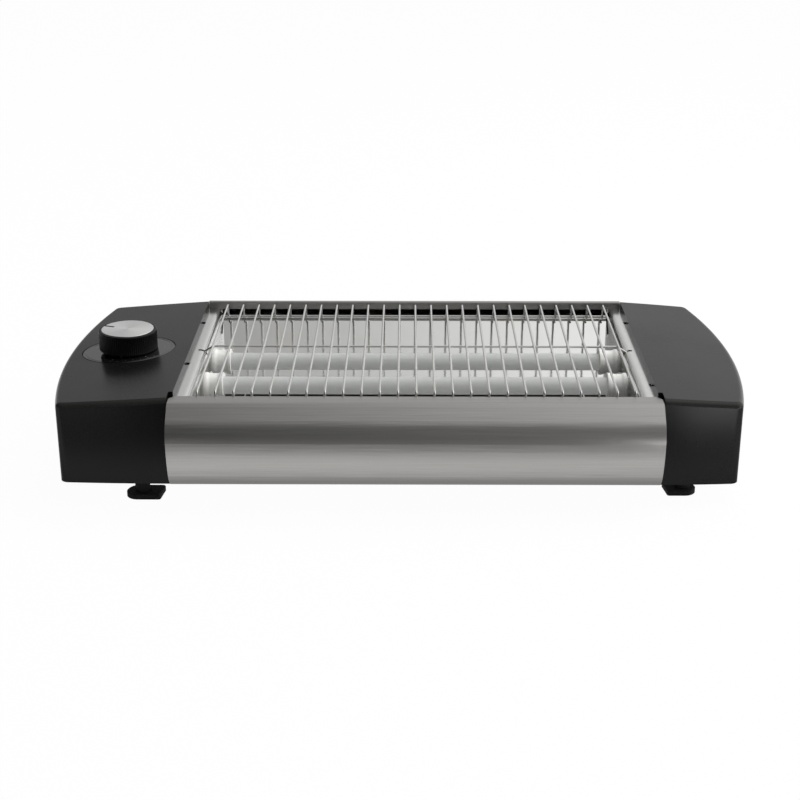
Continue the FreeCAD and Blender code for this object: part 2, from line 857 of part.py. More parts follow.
def side_frame(side):
    """A bent sheet side frame with ends inside the panels' bows and an ear behind the front lip."""
    inside = wall_x(side)
    outside = inside + side * frame_sheet
    top_front = front_y + frame_top_from_front
    top_rear = rear_y - frame_top_from_rear
    shape = frame_section(side, top_front).extrude(Vector(0, top_rear - top_front, 0))
    lip_front = front_y + panel_lip_from_front - frame_link
    lip_rear = rear_y - hem_from_rear + frame_link
    ends = [
        pull_along_x(panel_hollow(front_profile, from_front), inside, outside),
        pull_along_x(panel_hollow(rear_profile, from_rear), inside, outside),
        box(inside, outside, lip_front, top_front, base_top_z, top_z - frame_front_step),
        box(inside, outside, top_rear, lip_rear, base_top_z, top_z - frame_rear_step),
    ]
    ear_front = front_y + panel_lip_from_front
    ear = box(outside, inside - side * ear_length, ear_front, ear_front + frame_sheet,
              flange_z - ear_height, flange_z - 3 * frame_sheet)
    well_side = inside - side * cut_past
    below = box(well_side, outside + side * cut_past, -body_depth, body_depth, 0, base_top_z)
    shape = fuse(shape, ends + [ear]).cut(below)

    half_slot = rail_slot_width / 2
    hole_diameter = holder_waist_diameter + 2 * holder_clearance
    for end in (FRONT, REAR):
        hole_at = Vector(well_side, tube_y(end), tube_z)
        shape = shape.cut(rod(hole_diameter, frame_sheet + 2 * cut_past, hole_at, X_AXIS * side))
        slot_y = end_rail_y(end)
        shape = shape.cut(box(well_side, inside + side * rail_slot_depth,
                              slot_y - half_slot, slot_y + half_slot, rail_z - half_slot, rail_z + half_slot))
    slot_y = front_y + middle_rail_from_front
    slot_z = middle_rail_height(frame_bend_radius / 3)
    half_height = middle_rail_slot_height / 2
    shape = shape.cut(box(well_side, inside + side * middle_rail_slot_depth,
                          slot_y - half_slot, slot_y + half_slot, slot_z - half_height, slot_z + half_height))
    for notch in hook_notches(side):
        shape = shape.cut(notch)
    shape = drill(shape, frame_screw_places(side), Z_AXIS, 2 * base_sheet + frame_sheet)
    if side == LEFT:
        shape = drill(shape, [earth_place()], X_AXIS, 2 * screw_diameter)
    return shape


def tube_axis_rod(diameter, side, start, length, end):
    """A round bar about a tube's axis, from a distance outside of a holder's face outwards."""
    base = Vector(holder_face_x(side) + side * start, tube_y(end), tube_z)
    return rod(diameter, length, base, X_AXIS * side)


def quartz_tube(end):
    """An open glass tube between two holders."""
    length = holder_face_x(RIGHT) - holder_face_x(LEFT) + 2 * tube_seat_depth
    start = Vector(holder_face_x(LEFT) - tube_seat_depth, tube_y(end), tube_z)
    return ring(tube_diameter, tube_diameter - 2 * tube_wall, length, start, X_AXIS)


def heating_coil(end):
    """The wound coil inside a tube, as the plain round bar that it fills."""
    inset = tube_seat_depth - coil_from_tube_end
    start = Vector(holder_face_x(LEFT) - inset, tube_y(end), tube_z)
    return rod(coil_diameter, holder_face_x(RIGHT) - holder_face_x(LEFT) + 2 * inset, start, X_AXIS)


def tube_holder(side, end):
    """A ceramic holder: head with the tube's seat, waist, collar at the wall and neck through it."""
    head_length = holder_face_from_wall - holder_collar_length
    whole_length = holder_face_from_wall + holder_neck_length
    head = tube_axis_rod(holder_head_diameter, side, 0, head_length, end)
    collar = tube_axis_rod(holder_collar_diameter, side, head_length, holder_collar_length, end)
    waist = tube_axis_rod(holder_waist_diameter, side, head_length, whole_length - head_length, end)
    shape = fuse(head, [collar, waist])
    shape = shape.cut(tube_axis_rod(tube_diameter + 2 * tube_seat_clearance, side, 0, tube_seat_depth, end))
    return shape.cut(tube_axis_rod(pin_diameter + 2 * pin_clearance, side, 0, whole_length, end))


def holder_clips():
    """Rings behind the side walls that keep the holders in their holes."""
    clips = []
    for side in (LEFT, RIGHT):
        for end in (FRONT, REAR):
            base = Vector(wall_x(side) + side * frame_sheet, tube_y(end), tube_z)
            clips.append(ring(clip_diameter, holder_waist_diameter + 2 * holder_clearance, clip_thickness,
                              base, X_AXIS * side))
    return Part.makeCompound(clips)


def tube_terminals():
    """Pins from the coils' ends out through the holders, each with a flat tab."""
    terminals = []
    start = tube_seat_depth - coil_from_tube_end
    holder_end = holder_face_from_wall + holder_neck_length
    low_z = tube_z - pin_tab_thickness / 2
    high_z = tube_z + pin_tab_thickness / 2
    for side in (LEFT, RIGHT):
        for end in (FRONT, REAR):
            pin = tube_axis_rod(pin_diameter, side, start, holder_end - start, end)
            near_x = holder_face_x(side) + side * holder_end
            low_y = tube_y(end) - pin_tab_width / 2
            tab = box(near_x, terminal_end_x(side), low_y, low_y + pin_tab_width, low_z, high_z)
            terminals.append(fuse(pin, [tab]))
    return Part.makeCompound(terminals)


def reflector(end):
    """A sloped mirror beside the tubes, with a flange at its top and its foot and a tab at each end."""
    slope = math.radians(reflector_slope_angle)
    step = reflector_sheet * math.tan(slope / 2)
    top_y = reflector_top_reach
    top = -reflector_top_below
    foot_y = top_y - reflector_drop / math.tan(slope)
    foot = top - reflector_drop
    upper = [
        (top_y + reflector_top_flange, top),
        (top_y, top),
        (foot_y, foot),
        (foot_y - reflector_bottom_flange, foot),
    ]
    lower = [
        (foot_y - reflector_bottom_flange, foot - reflector_sheet),
        (foot_y + step, foot - reflector_sheet),
        (top_y + step, top - reflector_sheet),
        (top_y + reflector_top_flange, top - reflector_sheet),
    ]
    tab_foot = ((top_y + foot_y) / 2, (top + foot) / 2)
    tab_run = reflector_tab_width * math.cos(slope)
    tab_rise = reflector_tab_width * math.sin(slope)
    tab_top = (tab_foot[0] + tab_run, tab_foot[1] + tab_rise)
    inward = reflector_sheet * math.sin(slope)
    downward = reflector_sheet * math.cos(slope)
    tab = [
        tab_foot,
        tab_top,
        (tab_top[0] + inward, tab_top[1] - downward),
        (tab_foot[0] + inward, tab_foot[1] - downward),
    ]

    def section(points):
        return polygon_face([Vector(0, tubes_y - end * across, top_z + up) for across, up in points])

    left_x = left_wall_x + reflector_end_gap
    right_x = right_wall_x - reflector_end_gap
    body = pull_along_x(section(upper + lower), left_x, right_x)
    left_tab = pull_along_x(section(tab), left_wall_x, left_x)
    right_tab = pull_along_x(section(tab), right_x, right_wall_x)
    return fuse(body, [left_tab, right_tab])


def grill_wires():
    """The row of long wires, bent down at both ends."""
    wires = []
    for number in range(wire_count):
        x = first_wire_x + number * wire_pitch
        path = [
            Vector(x, wire_front_y, wire_z - wire_end_drop),
            Vector(x, wire_front_y, wire_z),
            Vector(x, wire_rear_y, wire_z),
            Vector(x, wire_rear_y, wire_z - wire_end_drop),
        ]
        wires.append(tube_along(path, wire_diameter, wire_bend_radius))
    return Part.makeCompound(wires)


def grill_end_rail(end):
    """A straight rail that the wires' bent ends are welded to."""
    length = (wire_count - 1) * wire_pitch + 2 * rail_overhang
    return rod(rail_diameter, length, Vector(first_wire_x - rail_overhang, end_rail_y(end), rail_z), X_AXIS)


def grill_middle_rail():
    """The rail under the wires, with its ends bent down and out into the side walls."""
    y = front_y + middle_rail_from_front
    level = wire_z - wire_diameter
    past = middle_rail_end_past_wall
    path = [
        Vector(left_wall_x - past, y, middle_rail_height(past)),
        Vector(left_wall_x + middle_rail_bend_from_wall, y, level),
        Vector(right_wall_x - middle_rail_bend_from_wall, y, level),
        Vector(right_wall_x + past, y, middle_rail_height(past)),
    ]
    return tube_along(path, wire_diameter, middle_rail_bend_radius)


def crumb_tray():
    """The drawer under the tubes, pulled out at the rear by its grip."""
    grip_top = base_top_z + tray_grip_height
    front = front_y + tray_front_from_front
    back = rear_y + rear_profile.reach(grip_top - top_z) + tray_grip_play
    floor = box(tray_left_x, tray_right_x, front, back, base_top_z, base_top_z + tray_sheet)
    wall_top = base_top_z + tray_wall_height
    wall_back = rear_y + panel_bulge / 2
    walls = [
        box(tray_left_x, tray_right_x, front, front + tray_sheet, base_top_z, wall_top),
        box(tray_left_x, tray_left_x + tray_sheet, front, wall_back, base_top_z, wall_top),
        box(tray_right_x - tray_sheet, tray_right_x, front, wall_back, base_top_z, wall_top),
    ]
    grip_left = tray_left_x - tray_grip_extra_width / 2
    grip_right = tray_right_x + tray_grip_extra_width / 2
    grip = box(grip_left, grip_right, back, back + tray_sheet, base_top_z, grip_top)
    lip = box(grip_left, grip_right, back, back + tray_sheet + tray_grip_lip,
              grip_top - tray_sheet, grip_top)
    return fuse(floor, walls + [grip, lip])


def timer_case():
    """The timer's moulded case with the neck that its shaft turns in."""
    top = -timer_plate_drop - timer_plate_thickness
    case = box(-timer_width / 2, timer_width / 2, -timer_length / 2, timer_length / 2, top - timer_depth, top)
    uprights = [edge for edge in case.Edges if edge.BoundBox.ZLength > timer_depth / 2]
    case = case.makeFillet(timer_corner_radius, uprights)
    case = fuse(case, [shaft_rod(timer_neck_diameter, top - cut_past, -timer_neck_below_dial)])
    case = case.cut(shaft_rod(shaft_diameter + 2 * shaft_play, -shaft_bottom - shaft_play, cut_past))
    for hole in at_timer_screws(timer_screw(screw_clearance)):
        case = case.cut(hole)
    return on_shaft(case)


def timer_plate():
    """The steel plate that clamps the timer under the cap's top."""
    top = -timer_plate_drop
    half_width = timer_width / 2 - timer_plate_margin
    half_length = timer_length / 2 - timer_plate_margin
    plate = box(-half_width, half_width, -half_length, half_length, top - timer_plate_thickness, top)
    neck_hole = shaft_rod(timer_neck_diameter + 2 * screw_clearance, top - 2 * timer_plate_thickness, 0)
    plate = plate.cut(neck_hole)
    for hole in at_timer_screws(timer_screw(screw_clearance)):
        plate = plate.cut(hole)
    return on_shaft(plate)


def timer_tab_end(side):
    """Where a lead meets one of the timer's two tabs."""
    tab_end = Vector(side * timer_tab_spacing / 2, timer_length / 2 + timer_tab_length, -timer_tab_depth)
    return tab_end + Vector(knob_x, knob_y, knob_z)


def timer_tabs():
    """Two flat contacts on the rear face of the timer's case."""
    tabs = []
    for side in (LEFT, RIGHT):
        middle = side * timer_tab_spacing / 2
        tab = box(middle - timer_tab_width / 2, middle + timer_tab_width / 2,
                  timer_length / 2, timer_length / 2 + timer_tab_length,
                  -timer_tab_depth - timer_tab_thickness / 2, -timer_tab_depth + timer_tab_thickness / 2)
        tabs.append(on_shaft(tab))
    return Part.makeCompound(tabs)


def flat_on_shaft(play):
    """What the shaft's flat takes away, leaving out a play."""
    start = shaft_diameter / 2 - shaft_flat_depth + play
    return box(start, shaft_diameter, -shaft_diameter, shaft_diameter, shaft_flat_start, 2 * shaft_top)


def timer_shaft():
    """The shaft with a flat for the knob."""
    return on_shaft(shaft_rod(shaft_diameter, -shaft_bottom, shaft_top).cut(flat_on_shaft(0)))


def dial_plate():
    """The oval scale plate, set flush into the cap's top."""
    hole = shaft_rod(timer_neck_diameter + 2 * dial_play, -2 * dial_thickness, dial_thickness)
    return on_dial(dial_oval(0, -dial_thickness, 0)).cut(on_shaft(hole))


def knob_body():
    """The hollow knob with a hub for the shaft and a seat for its disc."""
    top = knob_gap + knob_height
    seat = top - disc_thickness + disc_proud
    ceiling = seat - knob_shell
    body = shaft_rod(knob_diameter, knob_gap, top)
    body = body.cut(shaft_rod(knob_diameter - 2 * knob_rim, seat, top))
    hollow = shaft_rod(knob_diameter - 2 * knob_shell, knob_gap, ceiling)
    body = body.cut(hollow.cut(shaft_rod(hub_diameter, knob_gap, ceiling)))
    bore = shaft_rod(shaft_diameter + 2 * shaft_play, knob_gap, shaft_top + shaft_play)
    return on_shaft(body.cut(bore.cut(flat_on_shaft(shaft_play))))


def knob_disc():
    """The spun metal disc on top of the knob."""
    top = knob_gap + knob_height + disc_proud
    return on_shaft(shaft_rod(knob_diameter - 2 * knob_rim - 2 * disc_play, top - disc_thickness, top))


def knob_clip():
    """The spring ring round the knob's hub."""
    low = knob_gap + hub_clip_gap
    return on_shaft(ring(hub_clip_diameter, hub_diameter, hub_clip_height, Vector(0, 0, low), Z_AXIS))


def pole_x(number):
    """X of one of the terminal block's three poles, counted from the left."""
    return block_x + (number - 1) * block_pole_pitch


def terminal_block():
    """The moulded block that joins the cord's cores to the inner leads."""
    low_x = block_x - block_length / 2
    high_x = block_x + block_length / 2
    top = base_top_z + block_height
    rear = block_front_y + block_width
    block = box(low_x, high_x, block_front_y, rear, base_top_z, top)
    screw_hole_diameter = block_screw_diameter + 2 * block_screw_play
    for number in range(3):
        front_hole = Vector(pole_x(number), block_front_y, block_lead_z)
        rear_hole = Vector(pole_x(number), rear - block_hole_depth, block_lead_z)
        screw_hole = Vector(pole_x(number), block_front_y + block_width / 2, top - block_screw_length)
        block = block.cut(rod(block_hole_diameter, block_hole_depth, front_hole, Y_AXIS))
        block = block.cut(rod(block_hole_diameter, block_hole_depth, rear_hole, Y_AXIS))
        block = block.cut(rod(screw_hole_diameter, block_screw_length, screw_hole, Z_AXIS))
    return block


def terminal_screws():
    """The slotted screws in the terminal block's top."""
    screws = []
    top = base_top_z + block_height
    half_slot = screw_cross_width / 2
    y = block_front_y + block_width / 2
    for number in range(3):
        x = pole_x(number)
        body = rod(block_screw_diameter, block_screw_length, Vector(x, y, top - block_screw_length), Z_AXIS)
        slot = box(x - block_screw_diameter, x + block_screw_diameter, y - half_slot, y + half_slot,
                   top - block_screw_length / 3, top)
        screws.append(body.cut(slot))
    return Part.makeCompound(screws)


def cord_grommet():
    """The moulded bush in the rear wall that the mains cord passes through."""
    outer_face = rear_y - grommet_set_in
    x = -left_cap_inner_edge - grommet_from_inner_edge
    z = bottom_z + grommet_height

    def part(diameter, start, length):
        return rod(diameter, length, Vector(x, start, z), Y_AXIS)

    flange = part(grommet_flange_diameter, outer_face, grommet_flange_thickness)
    neck = part(grommet_hole_diameter, outer_face - grommet_grip, grommet_grip)
    inner = part(grommet_flange_diameter, outer_face - grommet_grip - grommet_flange_thickness,
                 grommet_flange_thickness)
    bore = part(grommet_bore_diameter, outer_face - 2 * grommet_grip, 4 * grommet_grip)
    return fuse(flange, [neck, inner]).cut(bore)


def earth_place():
    """Where the earth screw stands on the left frame's outer face."""
    return Vector(left_wall_x - frame_sheet, front_y + earth_from_front, base_top_z + earth_height)


def earth_leaf_end():
    """Where the earth lead meets its tag."""
    place = earth_place()
    leaf_y = place.y - earth_tag_diameter / 2 - earth_tag_thickness / 2
    return Vector(place.x - earth_leaf_length, leaf_y, place.z)


def earth_tag():
    """The ring tag under the earth screw, with a leaf that stands out from the wall."""
    place = earth_place()
    tag = rod(earth_tag_diameter, earth_tag_thickness, place, X_AXIS * -1)
    edge_y = place.y - earth_tag_diameter / 2
    half = earth_tag_diameter / 3
    foot = box(place.x, place.x - earth_tag_thickness, edge_y - earth_tag_thickness, place.y,
               place.z - half, place.z + half)
    leaf = box(place.x, place.x - earth_leaf_length, edge_y - earth_tag_thickness, edge_y,
               place.z - half, place.z + half)
    return drill(fuse(tag, [foot, leaf]), [place], X_AXIS * -1, earth_tag_thickness)


def lead(points):
    """A round insulated lead along a path."""
    return tube_along(points, lead_diameter)


def live_lead():
    """From the terminal block's left pole to the timer's right tab."""
    tab = timer_tab_end(RIGHT) + Vector(0, lead_end_gap, 0)
    return lead([
        tab,
        tab + Vector(0, lead_straight_end, 0),
        Vector(pole_x(0), block_front_y - lead_straight_end, block_lead_z),
        Vector(pole_x(0), pole_end_y, block_lead_z),
    ])


def timer_lead():
    """From the timer's left tab round its case to the front tube's left terminal."""
    tab = timer_tab_end(LEFT) + Vector(0, lead_end_gap, 0)
    run_x = left_wall_x - timer_lead_from_wall
    turn_y = tab.y + timer_lead_reach
    terminal = Vector(terminal_end_x(LEFT) - lead_end_gap, tube_y(FRONT), tube_z)
    return lead([
        tab,
        Vector(tab.x, turn_y, tab.z),
        Vector(run_x, turn_y, tube_z + timer_lead_rise),
        Vector(run_x, terminal.y, terminal.z),
        terminal,
    ])


def neutral_lead():
    """From the rear tube's left terminal down to the terminal block's middle pole."""
    terminal = Vector(terminal_end_x(LEFT) - lead_end_gap, tube_y(REAR), tube_z)
    turn_x = terminal.x - neutral_lead_reach
    return lead([
        terminal,
        Vector(turn_x, terminal.y, terminal.z),
        Vector(turn_x, terminal.y + neutral_lead_run, block_lead_z + neutral_lead_rise),
        Vector(pole_x(1), block_front_y - neutral_lead_end, block_lead_z),
        Vector(pole_x(1), pole_end_y, block_lead_z),
    ])


def earth_lead():
    """From the earth tag round the terminal block's corner to its right pole."""
    leaf = earth_leaf_end() - Vector(lead_end_gap, 0, 0)
    turn_x = leaf.x - earth_lead_reach
    turn_y = block_front_y - lead_straight_end
    return lead([
        leaf,
        Vector(turn_x, leaf.y, leaf.z),
        Vector(turn_x, turn_y, block_lead_z),
        Vector(pole_x(2), turn_y, block_lead_z),
        Vector(pole_x(2), pole_end_y, block_lead_z),
    ])


def link_lead():
    """Between the right terminals of both tubes."""
    near = terminal_end_x(RIGHT) + lead_end_gap
    far = near + link_lead_reach
    return lead([
        Vector(near, tube_y(FRONT), tube_z),
        Vector(far, tube_y(FRONT), tube_z),
        Vector(far, tube_y(REAR), tube_z),
        Vector(near, tube_y(REAR), tube_z),
    ])


def foot(side, end, middle):
    """A moulded foot: pad with a round outer end, stem and a counterbored screw hole."""
    length = left_foot_pad_length if side == LEFT else right_foot_pad_length
    half_length = length / 2
    half_width = foot_pad_width / 2
    round_x = half_length - half_width
    slant_x = foot_pad_slant - half_length
    pad = face_of([
        line(Vector(-half_length, half_width, 0), Vector(round_x, half_width, 0)),
        curve(Vector(round_x, half_width, 0), Vector(half_length, 0, 0), Vector(round_x, -half_width, 0)),
        line(Vector(round_x, -half_width, 0), Vector(slant_x, -half_width, 0)),
        line(Vector(slant_x, -half_width, 0), Vector(-half_length, half_width, 0)),
    ]).extrude(Vector(0, 0, foot_pad_height))
    corners = [edge for edge in pad.Edges if edge.BoundBox.Center.x < 0
               and edge.BoundBox.XLength < foot_pad_chamfer]
    pad = pad.makeFillet(foot_pad_corner_radius, corners)
    rim = [edge for edge in pad.Edges if edge.BoundBox.ZMin > foot_pad_height / 2]
    pad = pad.makeChamfer(foot_pad_chamfer, rim)
    stem_at = Vector(foot_stem_offset, 0, 0)
    shape = fuse(pad, [rod(foot_stem_diameter, base_z, stem_at, Z_AXIS)])
    shape = shape.cut(rod(foot_counterbore_diameter, foot_counterbore_depth, stem_at, Z_AXIS))
    shape = shape.cut(rod(screw_diameter, base_z, stem_at, Z_AXIS))
    if side == LEFT:
        shape = shape.mirror(ORIGIN, X_AXIS)
    if end == REAR:
        shape = shape.mirror(ORIGIN, Y_AXIS)
    shape.translate(middle)
    return shape


def screws_up(places, length):
    """Screws whose heads hang under a row of places."""
    return Part.makeCompound([screw(place, Z_AXIS, length) for place in places])


def foot_screws():
    """The screws inside the feet."""
    rise = Vector(0, 0, foot_counterbore_depth)
    return screws_up([place + rise for place in stem_places()], foot_screw_length)


pieces = {
    "left_end_cap": left_end_cap(),
    "right_end_cap": end_cap(RIGHT),
    "front_panel": front_panel(),
    "rear_panel": rear_panel(),
    "base_plate": base_plate(),
    "left_side_frame": side_frame(LEFT),
    "right_side_frame": side_frame(RIGHT),
    "front_reflector": reflector(FRONT),
    "rear_reflector": reflector(REAR),
    "grill_wires": grill_wires(),
    "grill_front_rail": grill_end_rail(FRONT),
    "grill_rear_rail": grill_end_rail(REAR),
    "grill_middle_rail": grill_middle_rail(),
    "front_quartz_tube": quartz_tube(FRONT),
    "rear_quartz_tube": quartz_tube(REAR),
    "front_heating_coil": heating_coil(FRONT),
    "rear_heating_coil": heating_coil(REAR),
    "front_left_tube_holder": tube_holder(LEFT, FRONT),
    "front_right_tube_holder": tube_holder(RIGHT, FRONT),
    "rear_left_tube_holder": tube_holder(LEFT, REAR),
    "rear_right_tube_holder": tube_holder(RIGHT, REAR),
    "holder_clips": holder_clips(),
    "tube_terminals": tube_terminals(),
    "crumb_tray": crumb_tray(),
    "timer_case": timer_case(),
    "timer_plate": timer_plate(),
    "timer_tabs": timer_tabs(),
    "timer_screws": Part.makeCompound([on_shaft(shape) for shape in at_timer_screws(timer_screw(0))]),
    "timer_shaft": timer_shaft(),
    "dial_plate": dial_plate(),
    "knob_body": knob_body(),
    "knob_disc": knob_disc(),
    "knob_clip": knob_clip(),
    "terminal_block": terminal_block(),
    "terminal_screws": terminal_screws(),
    "cord_grommet": cord_grommet(),
    "live_lead": live_lead(),
    "timer_lead": timer_lead(),
    "neutral_lead": neutral_lead(),
    "earth_lead": earth_lead(),
    "link_lead": link_lead(),
    "earth_tag": earth_tag(),
    "earth_screw": screw(earth_place() - Vector(earth_tag_thickness, 0, 0), X_AXIS, earth_screw_length),
    "front_left_foot": foot(*foot_places()[0]),
    "front_right_foot": foot(*foot_places()[1]),
    "rear_left_foot": foot(*foot_places()[2]),
    "rear_right_foot": foot(*foot_places()[3]),
    "foot_screws": foot_screws(),
    "cap_screws": screws_up(boss_places(LEFT) + boss_places(RIGHT), cap_screw_length),
    "frame_screws": screws_up(frame_screw_places(LEFT) + frame_screw_places(RIGHT), frame_screw_length),
    "panel_screws": screws_up(panel_screw_places(FRONT) + panel_screw_places(REAR), panel_screw_length),
}

os.makedirs("parts", exist_ok=True)
for name, shape in pieces.items():
    shape.exportStep(f"parts/{name}.step")
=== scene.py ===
"""A flat bread toaster with two quartz tubes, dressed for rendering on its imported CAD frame.

Every size is in millimetres until a mesh is made, and the axes are the frame's own: X to the
right, Y to the back and Z up from the surface that the toaster stands on.
"""

from __future__ import annotations

import logging
import math
from collections.abc import Callable, Sequence
from dataclasses import dataclass
from enum import Enum
from typing import Any

import bmesh
import bpy
from mathutils import Matrix, Vector


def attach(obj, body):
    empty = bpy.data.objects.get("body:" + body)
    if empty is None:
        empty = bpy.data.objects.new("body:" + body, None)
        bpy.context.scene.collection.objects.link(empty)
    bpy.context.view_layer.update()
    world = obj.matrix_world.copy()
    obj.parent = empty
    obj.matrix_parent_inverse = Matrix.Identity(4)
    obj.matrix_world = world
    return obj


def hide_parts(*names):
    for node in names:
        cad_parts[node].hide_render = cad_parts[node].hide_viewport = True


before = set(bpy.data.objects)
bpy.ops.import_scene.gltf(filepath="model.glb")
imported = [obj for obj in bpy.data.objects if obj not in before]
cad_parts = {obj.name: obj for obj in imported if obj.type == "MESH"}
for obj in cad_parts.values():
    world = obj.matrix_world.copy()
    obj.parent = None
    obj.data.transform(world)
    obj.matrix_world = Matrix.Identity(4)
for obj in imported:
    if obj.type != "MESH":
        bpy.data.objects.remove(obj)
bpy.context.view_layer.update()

MM = 0.001
NOISE_MIDDLE = 0.5
log = logging.getLogger("toaster")

Outline = Sequence[tuple[float, float]]


class Body(Enum):
    """The CAD bodies that the dressed pieces ride on."""

    HOUSING = "housing"
    KNOB = "knob"


class Slot(Enum):
    """The record's material slots."""

    CAP = "cap_plastic"
    PANEL = "panel_steel"
    FRAME = "frame_steel"
    BASE = "base_steel"
    MIRROR = "mirror_aluminium"
    WIRE = "wire_chrome"
    QUARTZ = "quartz"
    COIL = "coil_wire"
    CERAMIC = "tube_ceramic"
    TRAY = "tray_aluminium"
    TIMER = "timer_plastic"
    PLATED = "plated_steel"
    BRASS = "contact_brass"
    DIAL = "dial_plastic"
    KNOB = "knob_plastic"
    DISC = "disc_aluminium"
    BLOCK = "block_plastic"
    GROMMET = "grommet_rubber"
    BROWN = "lead_brown"
    BLUE = "lead_blue"
    GREEN = "lead_green"
    WHITE = "lead_white"
    FOOT = "foot_rubber"


class Axis(Enum):
    """A direction of the frame."""

    X = (1.0, 0.0, 0.0)
    Z = (0.0, 0.0, 1.0)


class Signal:
    """An output socket of a shader node. Arithmetic on it adds Math nodes."""

    def __init__(self, shader: Shader, socket: bpy.types.NodeSocket) -> None:
        """Keeps the socket and the tree that it belongs to.

        Args:
            shader: The tree under construction.
            socket: The output socket.
        """
        self.shader = shader
        self.socket = socket

    def __add__(self, other: Value) -> Signal:
        """Returns self + other."""
        return self.shader.math("ADD", self, other)

    def __radd__(self, other: Value) -> Signal:
        """Returns other + self."""
        return self.shader.math("ADD", other, self)

    def __sub__(self, other: Value) -> Signal:
        """Returns self - other."""
        return self.shader.math("SUBTRACT", self, other)

    def __rsub__(self, other: Value) -> Signal:
        """Returns other - self."""
        return self.shader.math("SUBTRACT", other, self)

    def __mul__(self, other: Value) -> Signal:
        """Returns self * other."""
        return self.shader.math("MULTIPLY", self, other)

    def __rmul__(self, other: Value) -> Signal:
        """Returns other * self."""
        return self.shader.math("MULTIPLY", other, self)


Value = Signal | float | Sequence[float]


